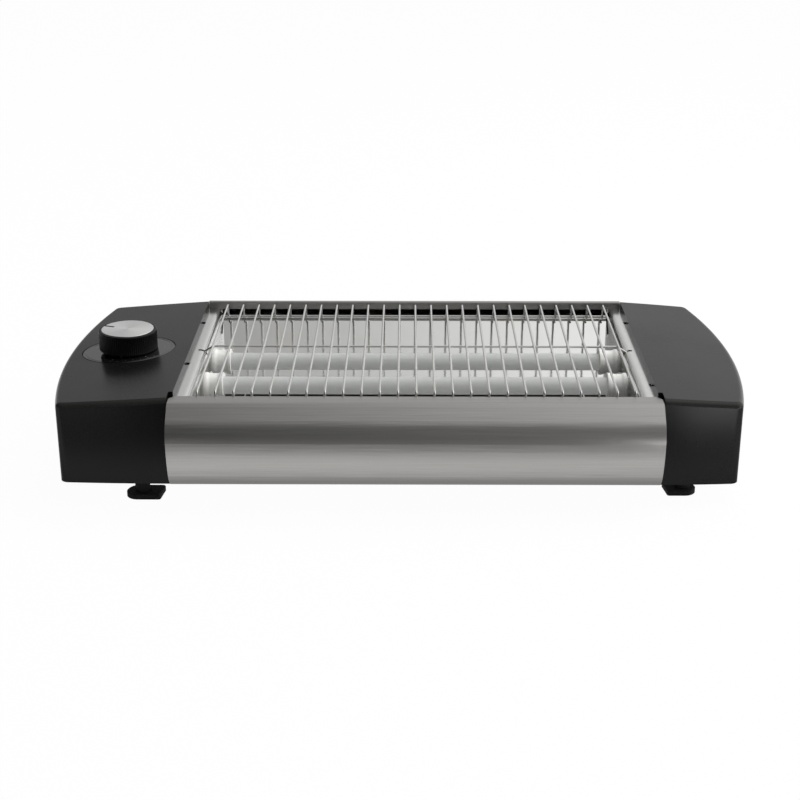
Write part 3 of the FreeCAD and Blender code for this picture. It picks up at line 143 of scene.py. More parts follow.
class Shader:
    """A node tree under construction, of a material or of the world."""

    def __init__(self, owner: bpy.types.ID) -> None:
        """Empties the owner's node tree, apart from its output.

        Args:
            owner: The material or world.
        """
        owner.use_nodes = True
        self.tree = owner.node_tree
        self.tree.nodes.clear()

    def add(
        self,
        kind: str,
        settings: dict[str, Any] | None = None,
        inputs: dict[str | int, Value] | None = None,
    ) -> bpy.types.Node:
        """Adds a node.

        Args:
            kind: The node's type, without the ShaderNode prefix.
            settings: The node's own settings, which are set first.
            inputs: What goes to its sockets, by name or number: numbers, or signals to link.

        Returns:
            The new node.
        """
        node = self.tree.nodes.new("ShaderNode" + kind)
        for name, value in (settings or {}).items():
            setattr(node, name, value)
        for name, value in (inputs or {}).items():
            socket = node.inputs[name]
            if isinstance(value, Signal):
                self.tree.links.new(value.socket, socket)
            else:
                socket.default_value = value
        return node

    def take(
        self,
        kind: str,
        settings: dict[str, Any] | None = None,
        inputs: dict[str | int, Value] | None = None,
        output: str | int = 0,
    ) -> Signal:
        """Adds a node and returns one of its outputs.

        Args:
            kind: The node's type, without the ShaderNode prefix.
            settings: The node's own settings.
            inputs: What goes to its sockets.
            output: The output's name or number.

        Returns:
            The output as a signal.
        """
        return Signal(self, self.add(kind, settings, inputs).outputs[output])

    def math(self, operation: str, first: Value, second: Value = 0.0) -> Signal:
        """Returns a Math node's result on two values."""
        return self.take("Math", {"operation": operation}, {0: first, 1: second})

    def clamped(self, value: Signal) -> Signal:
        """Returns the value held between 0 and 1."""
        return self.take("Clamp", None, {"Value": value})

    def smooth(self, value: Value, low: float, high: float) -> Signal:
        """Returns 0 below low and 1 above high, with a soft step between."""
        return self.take(
            "MapRange",
            {"interpolation_type": "SMOOTHSTEP"},
            {"Value": value, "From Min": low, "From Max": high},
        )

    def vector(self, operation: str, first: Value, second: Value, output: int = 0) -> Signal:
        """Returns a Vector Math node's result on two vectors."""
        return self.take("VectorMath", {"operation": operation}, {0: first, 1: second}, output)

    def scaled(self, first: Signal, factor: Value) -> Signal:
        """Returns a vector times a number."""
        return self.take("VectorMath", {"operation": "SCALE"}, {0: first, "Scale": factor})

    def parts(self, vector: Signal) -> list[Signal]:
        """Returns a vector's three coordinates."""
        return [Signal(self, part) for part in self.add("SeparateXYZ", None, {0: vector}).outputs]

    def dot(self, first: Value, second: Value) -> Signal:
        """Returns the dot product of two vectors."""
        return self.vector("DOT_PRODUCT", first, second, output=1)

    def place(self) -> Signal:
        """Returns the point of the surface in the piece's own frame, in metres."""
        return self.take("TexCoord", output="Object")

    def normal(self) -> Signal:
        """Returns the surface's direction."""
        return self.take("NewGeometry", output="Normal")

    def noise(self, place: Signal, per_mm: float | Sequence[float], detail: float = 2.0) -> Signal:
        """Returns smooth noise about NOISE_MIDDLE.

        Args:
            place: Where it is read, in metres.
            per_mm: How many cells there are in a millimetre, in all or each of the directions.
            detail: How many finer layers it has.

        Returns:
            The noise's level.
        """
        cells = (per_mm,) * 3 if isinstance(per_mm, (int, float)) else per_mm
        stretched = self.vector("MULTIPLY", place, [cell / MM for cell in cells])
        return self.take(
            "TexNoise", None, {"Vector": stretched, "Scale": 1.0, "Detail": detail}, "Fac"
        )

    def blend(self, share: Value, first: Value, second: Value) -> Signal:
        """Returns a colour between two colours, the second where share is 1."""
        node = self.add(
            "Mix",
            {"data_type": "RGBA"},
            {0: share, 6: self._opaque(first), 7: self._opaque(second)},
        )
        return Signal(self, node.outputs[2])

    @staticmethod
    def _opaque(colour: Value) -> Value:
        """Returns a plain colour with its alpha added, and a signal as it is."""
        return colour if isinstance(colour, Signal) else (*colour[:3], 1.0)

    def bump(self, height: Signal, depth_mm: float) -> Signal:
        """Returns the surface's direction, disturbed by a height.

        Args:
            height: The height, from 0 to 1.
            depth_mm: What a height of 1 stands for.

        Returns:
            The disturbed direction.
        """
        inputs = {"Height": height, "Distance": depth_mm * MM, "Strength": 1.0}
        return self.take("Bump", None, inputs, "Normal")

    def scratched(self, across: Signal, amount: Value) -> Signal:
        """Returns the surface's direction, tipped to the sides of a grain.

        Args:
            across: The direction across the grain.
            amount: How far it tips, about 0.

        Returns:
            The tipped direction.
        """
        tipped = self.vector("ADD", self.normal(), self.scaled(across, amount))
        return self.take("VectorMath", {"operation": "NORMALIZE"}, {0: tipped})

    def surface(self, inputs: dict[str | int, Value]) -> Signal:
        """Returns a Principled surface with the given sockets."""
        for name in ("Base Color", "Emission Color"):
            if name in inputs:
                inputs[name] = self._opaque(inputs[name])
        return self.take("BsdfPrincipled", None, inputs)

    def finish(self, shading: Signal) -> None:
        """Links the shading to a material's output."""
        self.add("OutputMaterial", None, {"Surface": shading})


@dataclass(frozen=True)
class Finish:
    """A surface's finish. Each kind of it says how its nodes are built."""

    colour: tuple[float, float, float]
    roughness: float

    def shade(self, shader: Shader) -> Signal:
        """Returns the finish's shading.

        Args:
            shader: The tree to build in.

        Returns:
            The shading to show.
        """
        raise NotImplementedError

    def material(self, name: str) -> bpy.types.Material:
        """Returns the finish as a named material."""
        material = bpy.data.materials.new(name)
        shader = Shader(material)
        shader.finish(self.shade(shader))
        return material


@dataclass(frozen=True)
class MouldedPlastic(Finish):
    """Moulded plastic or rubber with a fine spark grain, a little dust and a painted sheen on rounded
    edges.

    The painted sheen makes the rounded upper edges paler, standing in for their highlight, and the
    faces level or upright stay as they are.
    """

    grain_mm: float = 0.45
    depth_mm: float = 0.012
    specular: float = 0.5
    dust: float = 0.012
    painted_edge_sheen: float = 0.0
    dust_and_sheen_colour: tuple[float, float, float] = (0.55, 0.53, 0.5)
    patches_per_mm: float = 0.03
    specks_per_mm: float = 0.9
    speck_levels: tuple[float, float] = (0.62, 0.78)
    speck_strength: float = 8.0
    edge_starts: tuple[float, float] = (0.04, 0.22)
    edge_ends: tuple[float, float] = (0.9, 0.99)
    even_painted_sheen: float = 0.7
    patchy_painted_sheen: float = 0.6
    grain_shine: float = 0.12
    patch_shine: float = 0.18

    def shade(self, shader: Shader) -> Signal:
        """Returns the grain, dull patches, dust, and a painted sheen on rounded edges, on a plain
        colour.
        """
        place = shader.place()
        grain = shader.noise(place, 1 / self.grain_mm, detail=3)
        patches = shader.noise(place, self.patches_per_mm, detail=3)
        dots = shader.noise(place, self.specks_per_mm, detail=4)
        specks = shader.smooth(dots, *self.speck_levels)
        upward = shader.clamped(shader.dot(shader.normal(), Axis.Z.value))
        # Painted sheen: the rounded upper edges, picked by how far the surface faces up, are made
        # paler in place of a highlight.
        edges = shader.smooth(upward, *self.edge_starts) * (1 - shader.smooth(upward, *self.edge_ends))
        dusty = specks * upward * self.dust * self.speck_strength + patches * upward * self.dust
        # This share holds both the dust and the painted edge sheen.
        pale = dusty + edges * (patches * self.patchy_painted_sheen + self.even_painted_sheen) * self.painted_edge_sheen
        colour = shader.blend(pale, self.colour, self.dust_and_sheen_colour)
        uneven = (grain - NOISE_MIDDLE) * self.grain_shine
        roughness = self.roughness + uneven + (patches - NOISE_MIDDLE) * self.patch_shine
        return shader.surface(
            {
                "Base Color": colour,
                "Roughness": shader.clamped(roughness),
                "Specular IOR Level": self.specular,
                "Normal": shader.bump(grain, self.depth_mm),
            }
        )


@dataclass(frozen=True)
class BrushedMetal(Finish):
    """Sheet metal with a grain drawn along one axis."""

    along: Axis = Axis.X
    tip: float = 0.12
    line_mm: float = 0.22
    length_mm: float = 30.0
    marks: float = 0.08
    wide_lines: float = 6.0
    smears_per_mm: float = 0.02
    line_contrast: float = 0.7
    wide_contrast: float = 0.4
    dullest: float = 0.75
    brightest: float = 1.25
    line_shine: float = 0.1

    def shade(self, shader: Shader) -> Signal:
        """Returns fine scratches that tip the surface across the grain, and faint smears."""
        place = shader.place()
        cells = [1 / self.length_mm if part else 1 / self.line_mm for part in self.along.value]
        lines = shader.noise(place, cells, detail=3)
        wide = shader.noise(place, [cell / self.wide_lines for cell in cells], detail=2)
        smears = shader.noise(place, self.smears_per_mm, detail=4)
        line = lines - NOISE_MIDDLE
        smear = (smears - NOISE_MIDDLE) * self.marks
        band = (wide - NOISE_MIDDLE) * self.wide_contrast
        shine = NOISE_MIDDLE + line * self.line_contrast + band + smear
        dull = [part * self.dullest for part in self.colour]
        bright = [min(part * self.brightest, 1.0) for part in self.colour]
        colour = shader.blend(shader.clamped(shine), dull, bright)
        roughness = self.roughness + smear + line * self.line_shine
        across = shader.vector("CROSS_PRODUCT", shader.normal(), self.along.value)
        return shader.surface(
            {
                "Base Color": colour,
                "Metallic": 1.0,
                "Roughness": shader.clamped(roughness),
                "Normal": shader.scratched(across, line * 2 * self.tip),
            }
        )


@dataclass(frozen=True)
class PolishedMetal(Finish):
    """Bright metal with slight waves, haze and a tint where it has been hot."""

    wave_mm: float = 14.0
    wave_depth_mm: float = 0.05
    haze: float = 0.05
    tint: tuple[float, float, float] = (0.75, 0.66, 0.5)
    tinted: float = 0.12
    haze_per_mm: float = 0.05
    haze_middle: float = 0.4
    specks_per_mm: float = 2.5
    tint_levels: tuple[float, float] = (0.45, 0.8)

    def shade(self, shader: Shader) -> Signal:
        """Returns a mirror with waves, hazy patches and a warm tint in places."""
        place = shader.place()
        waves = shader.noise(place, 1 / self.wave_mm, detail=1)
        haze = shader.noise(place, self.haze_per_mm, detail=4)
        specks = shader.noise(place, self.specks_per_mm, detail=2)
        warm = shader.smooth(haze, *self.tint_levels) * self.tinted
        hazy = (haze - self.haze_middle) * self.haze
        roughness = self.roughness + hazy + (specks - NOISE_MIDDLE) * self.haze
        return shader.surface(
            {
                "Base Color": shader.blend(warm, self.colour, self.tint),
                "Metallic": 1.0,
                "Roughness": shader.clamped(roughness),
                "Normal": shader.bump(waves, self.wave_depth_mm),
            }
        )


@dataclass(frozen=True)
class FrostedQuartz(Finish):
    """Satin quartz glass: milky, with a soft gloss and a faint, even painted glow.

    The share let_through passes light from the far side. The glass also gives off an even painted
    glow, which stands in for light scattered through the milky glass.
    """

    let_through: float = 0.5
    painted_glow: float = 0.18
    index: float = 1.46
    frost_per_mm: float = 3.0
    frost_shine: float = 0.16
    frost_depth_mm: float = 0.01
    streaks_per_mm: tuple[float, float, float] = (0.012, 0.5, 0.5)
    streak_level: float = 0.9

    def shade(self, shader: Shader) -> Signal:
        """Returns milky glass with streaks along the tube and a fine frost."""
        place = shader.place()
        frost = shader.noise(place, self.frost_per_mm, detail=3)
        streaks = shader.noise(place, self.streaks_per_mm, detail=3)
        streaked = [part * self.streak_level for part in self.colour]
        milky = shader.blend(streaks, self.colour, streaked)
        frosted = shader.bump(frost, self.frost_depth_mm)
        roughness = self.roughness + (frost - NOISE_MIDDLE) * self.frost_shine
        glossy = shader.surface(
            {
                "Base Color": milky,
                "Roughness": shader.clamped(roughness),
                "IOR": self.index,
                # Painted glow: the glass gives off light evenly, though it is no lamp.
                "Emission Color": milky,
                "Emission Strength": self.painted_glow,
                "Normal": frosted,
            }
        )
        lit_through = shader.take("BsdfTranslucent", None, {"Color": milky, "Normal": frosted})
        return shader.take("MixShader", None, {0: self.let_through, 1: glossy, 2: lit_through})


@dataclass(frozen=True)
class GlazedCeramic(Finish):
    """White steatite with fine pores and faint grey specks."""

    speck: tuple[float, float, float] = (0.42, 0.38, 0.33)
    specks_per_mm: float = 2.2
    speck_levels: tuple[float, float] = (0.68, 0.74)
    speck_strength: float = 0.5
    clouds_per_mm: float = 0.12
    cloud_middle: float = 0.4
    cloud_strength: float = 0.12
    cloud_shine: float = 0.2
    pores_per_mm: float = 1.6
    pore_depth_mm: float = 0.03

    def shade(self, shader: Shader) -> Signal:
        """Returns pores in the surface and specks in the body."""
        place = shader.place()
        pores = shader.noise(place, self.pores_per_mm, detail=4)
        dots = shader.noise(place, self.specks_per_mm, detail=2)
        specks = shader.smooth(dots, *self.speck_levels) * self.speck_strength
        cloud = shader.noise(place, self.clouds_per_mm, detail=3)
        clouded = (cloud - self.cloud_middle) * self.cloud_strength
        colour = shader.blend(specks + clouded, self.colour, self.speck)
        roughness = self.roughness + (cloud - NOISE_MIDDLE) * self.cloud_shine
        return shader.surface(
            {
                "Base Color": colour,
                "Roughness": shader.clamped(roughness),
                "Normal": shader.bump(pores, self.pore_depth_mm),
            }
        )


@dataclass(frozen=True)
class SpunMetal(Finish):
    """A turned level metal face, with fine rings about its middle and two painted highlight fans.

    The painted fans lie along a direction of the room, set in the fields, which doesn't turn with the
    face.
    """

    centre_mm: tuple[float, float, float]
    ring_mm: float = 0.16
    tip: float = 0.15
    painted_fan_way: tuple[float, float, float] = (0.94, -0.34, 0.0)
    base_shine: float = 0.35
    painted_fan_shine: float = 0.65
    ring_shine: float = 0.4
    dullest: float = 0.7
    smears_per_mm: float = 0.12
    smear_shine: float = 0.1

    def shade(self, shader: Shader) -> Signal:
        """Returns the rings, which tip the surface in and out, and the painted highlight fans."""
        place = shader.place()
        centre = [part * MM for part in self.centre_mm]
        arm = shader.vector("SUBTRACT", place, centre)
        flat = shader.vector("MULTIPLY", arm, (1.0, 1.0, 0.0))
        radius = shader.take("VectorMath", {"operation": "LENGTH"}, {0: flat}, 1)
        rings = shader.take(
            "TexNoise",
            {"noise_dimensions": "1D"},
            {"W": radius * (1 / (self.ring_mm * MM)), "Scale": 1.0, "Detail": 3.0},
        )
        smears = shader.noise(place, self.smears_per_mm, detail=3)
        outward = shader.take("VectorMath", {"operation": "NORMALIZE"}, {0: flat})
        turned = shader.take(
            "VectorTransform",
            {"vector_type": "VECTOR", "convert_from": "OBJECT", "convert_to": "WORLD"},
            {0: outward},
        )
        painted_fan_facing = shader.dot(turned, self.painted_fan_way)
        ring = rings - NOISE_MIDDLE
        # Painted highlight: the colour is brighter in two fans along a fixed direction of the room;
        # the rings add their own tone.
        rings_and_painted_fans = self.base_shine + painted_fan_facing * painted_fan_facing * self.painted_fan_shine + ring * self.ring_shine
        dull = [part * self.dullest for part in self.colour]
        roughness = self.roughness + (smears - NOISE_MIDDLE) * self.smear_shine
        return shader.surface(
            {
                "Base Color": shader.blend(shader.clamped(rings_and_painted_fans), dull, self.colour),
                "Metallic": 1.0,
                "Roughness": shader.clamped(roughness),
                "Normal": shader.scratched(turned, ring * 2 * self.tip),
            }
        )


KNOB_MM = (-164.0, -1.15, 62.79)
CAP_FALL = math.radians(3.8)

FINISHES: dict[Slot, Finish] = {
    # The caps get a painted sheen on their rounded upper edges.
    Slot.CAP: MouldedPlastic((0.0045, 0.0045, 0.0045), 0.25, specular=0.19, dust=0.004, painted_edge_sheen=0.034),
    Slot.PANEL: BrushedMetal((0.42, 0.412, 0.4), 0.34),
    Slot.FRAME: BrushedMetal((0.78, 0.78, 0.77), 0.2, along=Axis.Z, tip=0.05),
    Slot.BASE: PolishedMetal((0.5, 0.51, 0.52), 0.42, haze=0.3, tinted=0.0),
    Slot.MIRROR: PolishedMetal((0.86, 0.86, 0.85), 0.07),
    Slot.WIRE: PolishedMetal((0.8, 0.8, 0.79), 0.22, tinted=0.3),
    Slot.QUARTZ: FrostedQuartz((0.78, 0.79, 0.78), 0.4),
    Slot.COIL: PolishedMetal((0.32, 0.29, 0.27), 0.5, tinted=0.5),
    Slot.CERAMIC: GlazedCeramic((0.92, 0.915, 0.89), 0.4),
    Slot.TRAY: PolishedMetal((0.8, 0.8, 0.79), 0.22, haze=0.15, tinted=0.1),
    Slot.TIMER: MouldedPlastic((0.55, 0.53, 0.48), 0.45, dust=0.0),
    Slot.PLATED: PolishedMetal((0.62, 0.62, 0.6), 0.28, haze=0.2),
    Slot.BRASS: PolishedMetal((0.7, 0.52, 0.25), 0.25, haze=0.15),
    Slot.DIAL: MouldedPlastic((0.006, 0.006, 0.006), 0.08, specular=1.0, dust=0.001),
    Slot.KNOB: MouldedPlastic((0.003, 0.003, 0.003), 0.4, specular=0.2, dust=0.002),
    Slot.DISC: SpunMetal((0.95, 0.95, 0.94), 0.2, KNOB_MM),
    Slot.BLOCK: MouldedPlastic((0.6, 0.58, 0.52), 0.5, dust=0.0),
    Slot.GROMMET: MouldedPlastic((0.02, 0.02, 0.02), 0.7, dust=0.0),
    Slot.BROWN: MouldedPlastic((0.13, 0.05, 0.02), 0.45, dust=0.0),
    Slot.BLUE: MouldedPlastic((0.03, 0.1, 0.4), 0.45, dust=0.0),
    Slot.GREEN: MouldedPlastic((0.12, 0.35, 0.05), 0.45, dust=0.0),
    Slot.WHITE: MouldedPlastic((0.7, 0.69, 0.66), 0.6, dust=0.0),
    Slot.FOOT: MouldedPlastic((0.015, 0.015, 0.015), 0.75, specular=0.3),
}
PRINT = MouldedPlastic((0.13, 0.13, 0.125), 0.15, specular=1.0, dust=0.0)
SHARP_DEG = 35.0


class Shelf:
    """The finished materials, one for each slot and one for the dial's print."""

    def __init__(self) -> None:
        """Builds every slot's material."""
        self.materials = {slot: finish.material(slot.value) for slot, finish in FINISHES.items()}
        self.print = PRINT.material("dial_print")


class Bench:
    """Turns shapes in millimetres into pieces that ride on the CAD bodies."""

    def __init__(self, shelf: Shelf) -> None:
        """Keeps the materials.

        Args:
            shelf: The finished materials.
        """
        self.shelf = shelf
        self.replaced: set[str] = set()

    def mesh_piece(
        self,
        name: str,
        shape: bmesh.types.BMesh,
        slot: Slot,
        body: Body,
        *nodes: str,
        material: bpy.types.Material | None = None,
    ) -> None:
        """Makes a mesh piece, smooth but for its sharp edges.

        Args:
            name: The piece's name.
            shape: The shape, in millimetres and in the frame's axes.
            slot: The record's slot.
            body: The body that it rides on.
            nodes: The CAD nodes that it stands for.
            material: Its material, where that isn't the slot's.
        """
        bmesh.ops.recalc_face_normals(shape, faces=shape.faces)
        bmesh.ops.scale(shape, vec=(MM, MM, MM), verts=shape.verts)
        mesh = bpy.data.meshes.new(name)
        shape.to_mesh(mesh)
        shape.free()
        mesh.shade_smooth()
        mesh.set_sharp_from_angle(angle=math.radians(SHARP_DEG))
        self.hand_over(bpy.data.objects.new(name, mesh), slot, body, nodes, material)

    def hand_over(
        self,
        piece: bpy.types.Object,
        slot: Slot,
        body: Body,
        nodes: Sequence[str],
        material: bpy.types.Material | None = None,
    ) -> None:
        """Dresses a piece and puts it on its body, in the place of CAD nodes.

        Args:
            piece: The piece, already in its place.
            slot: The record's slot.
            body: The body that it rides on.
            nodes: The CAD nodes that it stands for.
            material: Its material, where that isn't the slot's.
        """
        bpy.context.collection.objects.link(piece)
        piece.data.materials.append(material or self.shelf.materials[slot])
        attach(piece, body.value)
        if nodes:
            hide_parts(*nodes)
            self.replaced.update(nodes)
        log.info("%s rides on the %s", piece.name, body.value)


def softened(
    corners: Sequence[tuple[float, float, float]], steps: int = 4
) -> list[tuple[float, float]]:
    """Rounds the corners of an outline.

    Args:
        corners: Each corner's two coordinates, and how far along its sides it is rounded.
        steps: How many edges a round corner gets.

    Returns:
        The outline's points.
    """
    points = []
    count = len(corners)
    for number, (across, along, reach) in enumerate(corners):
        corner = Vector((across, along))
        if not reach:
            points.append((across, along))
            continue
        before = Vector(corners[number - 1][:2])
        after = Vector(corners[(number + 1) % count][:2])
        start = corner + (before - corner).normalized() * reach
        end = corner + (after - corner).normalized() * reach
        for step in range(steps + 1):
            part = step / steps
            bent = start * (1 - part) ** 2 + corner * 2 * part * (1 - part) + end * part**2
            points.append((bent.x, bent.y))
    return points


def turned(
    outline: Outline,
    segments: int,
    place: Matrix,
    closed: bool = False,
    relief: Callable[[float, float], float] | None = None,
) -> bmesh.types.BMesh:
    """Turns an outline about Z.

    Args:
        outline: Pairs of a radius and a height.
        segments: How many sides the round has.
        place: Where the turned shape goes.
        closed: Whether the outline's end joins its start.
        relief: What is taken off the radius, by turn and height.

    Returns:
        The shape.
    """
    shape = bmesh.new()
    rings = []
    for radius, height in outline:
        if not radius:
            rings.append([shape.verts.new((0.0, 0.0, height))])
            continue
        ring = []
        for number in range(segments):
            turn = math.tau * number / segments
            reach = radius - (relief(turn, height) if relief else 0.0)
            ring.append(shape.verts.new((reach * math.cos(turn), reach * math.sin(turn), height)))
        rings.append(ring)
    pairs = list(zip(rings, rings[1:]))
    if closed:
        pairs.append((rings[-1], rings[0]))
    for low, high in pairs:
        for number in range(segments):
            after = (number + 1) % segments
            corners = [
                low[number % len(low)],
                low[after % len(low)],
                high[after % len(high)],
                high[number % len(high)],
            ]
            shape.faces.new(list(dict.fromkeys(corners)))
    bmesh.ops.transform(shape, matrix=place, verts=shape.verts)
    return shape


def on_shaft() -> Matrix:
    """Returns the place of the knob's frame, with Z up along its shaft."""
    return Matrix.Translation(KNOB_MM)


def on_dial() -> Matrix:
    """Returns the place of the dial's frame, with Z square to the sloping cap."""
    return on_shaft() @ Matrix.Rotation(-CAP_FALL, 4, "Y")


@dataclass
class TimerKnob:
    """The ribbed knob with its spun disc and pointer."""

    bench: Bench
    radius: float = 17.4
    bottom: float = 1.51
    top: float = 13.2
    rim: float = 1.8
    shell: float = 2.4
    hub_radius: float = 5.0
    bore_radius: float = 3.05
    bore_top: float = 9.65
    disc_thickness: float = 1.0
    disc_top: float = 13.46
    disc_play: float = 0.05
    foot_rounding: float = 0.35
    top_rounding: float = 0.7
    lip_rounding: float = 0.2
    disc_rounding: float = 0.25
    ribs: int = 88
    rib_depth: float = 0.32
    rib_ends: tuple[float, float] = (2.1, 12.3)
    rib_run_out: float = 0.5
    steps_per_rib: int = 6
    pointer_turn_deg: float = 161.0
    pointer_length: float = 6.2
    pointer_width: float = 1.7
    pointer_rise: float = 0.03
    pointer_rounding: float = 0.2

    def build(self) -> None:
        """Builds the three pieces."""
        seat = self.disc_top - self.disc_thickness
        ceiling = seat - self.shell
        inside = self.radius - self.rim
        outline = softened(
            [
                (0.0, self.bore_top, 0.0),
                (self.bore_radius, self.bore_top, 0.0),
                (self.bore_radius, self.bottom, 0.0),
                (self.hub_radius, self.bottom, 0.0),
                (self.hub_radius, ceiling, 0.0),
                (self.radius - self.shell, ceiling, 0.0),
                (self.radius - self.shell, self.bottom, 0.0),
                (self.radius, self.bottom, self.foot_rounding),
                (self.radius, self.rib_ends[0], 0.0),
                (self.radius, self.rib_ends[0] + self.rib_run_out, 0.0),
                (self.radius, self.rib_ends[1] - self.rib_run_out, 0.0),
                (self.radius, self.rib_ends[1], 0.0),
                (self.radius, self.top, self.top_rounding),
                (inside, self.top, self.lip_rounding),
                (inside, seat, 0.0),
                (0.0, seat, 0.0),
            ]
        )
        segments = self.ribs * self.steps_per_rib
        body = turned(outline, segments, on_shaft(), relief=self._rib)
        self.bench.mesh_piece("knob_grip", body, Slot.KNOB, Body.KNOB, "knob_body")

        edge = inside - self.disc_play
        disc_outline = softened(
            [
                (0.0, seat, 0.0),
                (edge, seat, 0.0),
                (edge, self.disc_top, self.disc_rounding),
                (0.0, self.disc_top, 0.0),
            ]
        )
        disc = turned(disc_outline, self.ribs, on_shaft())
        self.bench.mesh_piece("knob_face", disc, Slot.DISC, Body.KNOB, "knob_disc")
        self._pointer(edge - self.disc_rounding)

    def _rib(self, turn: float, height: float) -> float:
        """Returns how deep the groove beside a rib is at a turn and a height."""
        low, high = self.rib_ends
        if height <= low or height >= high:
            return 0.0
        return self.rib_depth * (0.5 + 0.5 * math.cos(turn * self.ribs)) ** 2

    def _pointer(self, reach: float) -> None:
        """Builds the dark mark that runs in from the disc's rim.

        Args:
            reach: Where it starts, from the disc's middle.
        """
        shape = bmesh.new()
        half = self.pointer_width / 2
        near = reach - self.pointer_length
        outline = softened(
            [
                (near, -half, 0.0),
                (reach, -half, self.pointer_rounding),
                (reach, half, self.pointer_rounding),
                (near, half, 0.0),
            ]
        )
        height = self.disc_top + self.pointer_rise
        face = shape.faces.new([shape.verts.new((x, y, height)) for x, y in outline])
        sides = bmesh.ops.extrude_face_region(shape, geom=[face])["geom"]
        lower = [part for part in sides if isinstance(part, bmesh.types.BMVert)]
        bmesh.ops.translate(shape, vec=(0.0, 0.0, -2 * self.pointer_rise), verts=lower)
        turn = Matrix.Rotation(math.radians(self.pointer_turn_deg), 4, "Z")
        bmesh.ops.transform(shape, matrix=on_shaft() @ turn, verts=shape.verts)
        self.bench.mesh_piece("knob_pointer", shape, Slot.KNOB, Body.KNOB)


@dataclass
class Dial:
    """The oval scale plate under the knob, with its ticks and figures.

    Sizes are shares of the plate's half width and depth. An edge says at what size its bevel
    starts and how far down it ends: the lower one in shares of the thickness, the upper one in mm.
    """

    bench: Bench
    half_width: float = 27.8
    half_depth: float = 23.0
    thickness: float = 1.0
    hole_radius: float = 4.8
    lower_edge: tuple[float, float] = (0.99, 0.9)
    upper_edge: tuple[float, float] = (0.992, 0.18)
    groove_size: float = 0.94
    groove_mouth: float = 0.01
    groove_floor: float = 0.006
    groove_depth: float = 0.15
    segments: int = 96
    scale_size: float = 0.88
    figure_size: float = 0.78
    start_deg: float = 161.0
    sweep_deg: float = 270.0
    figures: int = 6
    ticks_between: int = 4
    tick_length: float = 1.3
    major_stretch: float = 1.6
    tick_width: float = 0.22
    figure_height: float = 2.6
    print_rise: float = 0.02

    def build(self) -> None:
        """Builds the plate, with a fine groove inside its rim, and the print on it."""
        hole = self.hole_radius / self.half_width
        groove = self.groove_size
        low_size, low_share = self.lower_edge
        high_size, high_drop = self.upper_edge
        section = [
            (hole, -self.thickness),
            (low_size, -self.thickness),
            (1.0, -low_share * self.thickness),
            (1.0, -high_drop),
            (high_size, 0.0),
            (groove + self.groove_mouth, 0.0),
            (groove + self.groove_floor, -self.groove_depth),
            (groove - self.groove_floor, -self.groove_depth),
            (groove - self.groove_mouth, 0.0),
            (hole, 0.0),
        ]
        shape = bmesh.new()
        rings = []
        for size, height in section:
            ring = []
            for number in range(self.segments):
                turn = math.tau * number / self.segments
                ring.append(shape.verts.new((*self._oval(turn, size), height)))
            rings.append(ring)
        for low, high in zip(rings, rings[1:] + rings[:1]):
            for number in range(self.segments):
                after = (number + 1) % self.segments
                shape.faces.new((low[number], low[after], high[after], high[number]))
        bmesh.ops.transform(shape, matrix=on_dial(), verts=shape.verts)
        self.bench.mesh_piece("dial_face", shape, Slot.DIAL, Body.HOUSING, "dial_plate")
        self._print()

    def _oval(self, turn: float, size: float) -> tuple[float, float]:
        """Returns a point of the oval at a turn and a share of its size."""
        return size * self.half_width * math.cos(turn), size * self.half_depth * math.sin(turn)

    def _print(self) -> None:
        """Builds the ticks and the figures, as one thin print."""
        shape = bmesh.new()
        steps = (self.figures - 1) * (self.ticks_between + 1)
        for step in range(steps + 1):
            turn = math.radians(self.start_deg - self.sweep_deg * step / steps)
            major = step % (self.ticks_between + 1) == 0
            self._tick(shape, turn, self.tick_length * (self.major_stretch if major else 1.0))
            if major:
                self._figure(shape, turn, str(step // (self.ticks_between + 1)))
        bmesh.ops.transform(shape, matrix=on_dial(), verts=shape.verts)
        self.bench.mesh_piece(
            "dial_scale", shape, Slot.DIAL, Body.HOUSING, material=self.bench.shelf.print
        )

    def _tick(self, shape: bmesh.types.BMesh, turn: float, length: float) -> None:
        """Adds a tick that runs in from the scale's oval.

        Args:
            shape: The print so far.
            turn: Where it stands.
            length: Its length.
        """
        x, y = self._oval(turn, self.scale_size)
        place = Matrix.Translation((x, y, self.print_rise / 2)) @ Matrix.Rotation(turn, 4, "Z")
        size = Matrix.Diagonal((length, self.tick_width, self.print_rise, 1.0))
        bmesh.ops.create_cube(shape, size=1.0, matrix=place @ size)

    def _figure(self, shape: bmesh.types.BMesh, turn: float, figure: str) -> None:
        """Adds a figure inside the scale, upright to a reader in front.

        Args:
            shape: The print so far.
            turn: Where it stands.
            figure: What it says.
        """
        text = bpy.data.curves.new("figure", "FONT")
        text.body = figure
        text.size = self.figure_height
        text.extrude = self.print_rise / 2
        text.align_x = "CENTER"
        text.align_y = "CENTER"
        written = bpy.data.objects.new("figure", text)
        x, y = self._oval(turn, self.figure_size)
        mesh = bpy.data.meshes.new_from_object(written)
        mesh.transform(Matrix.Translation((x, y, self.print_rise / 2)))
        shape.from_mesh(mesh)
        bpy.data.meshes.remove(mesh)
        bpy.data.objects.remove(written)
        bpy.data.curves.remove(text)


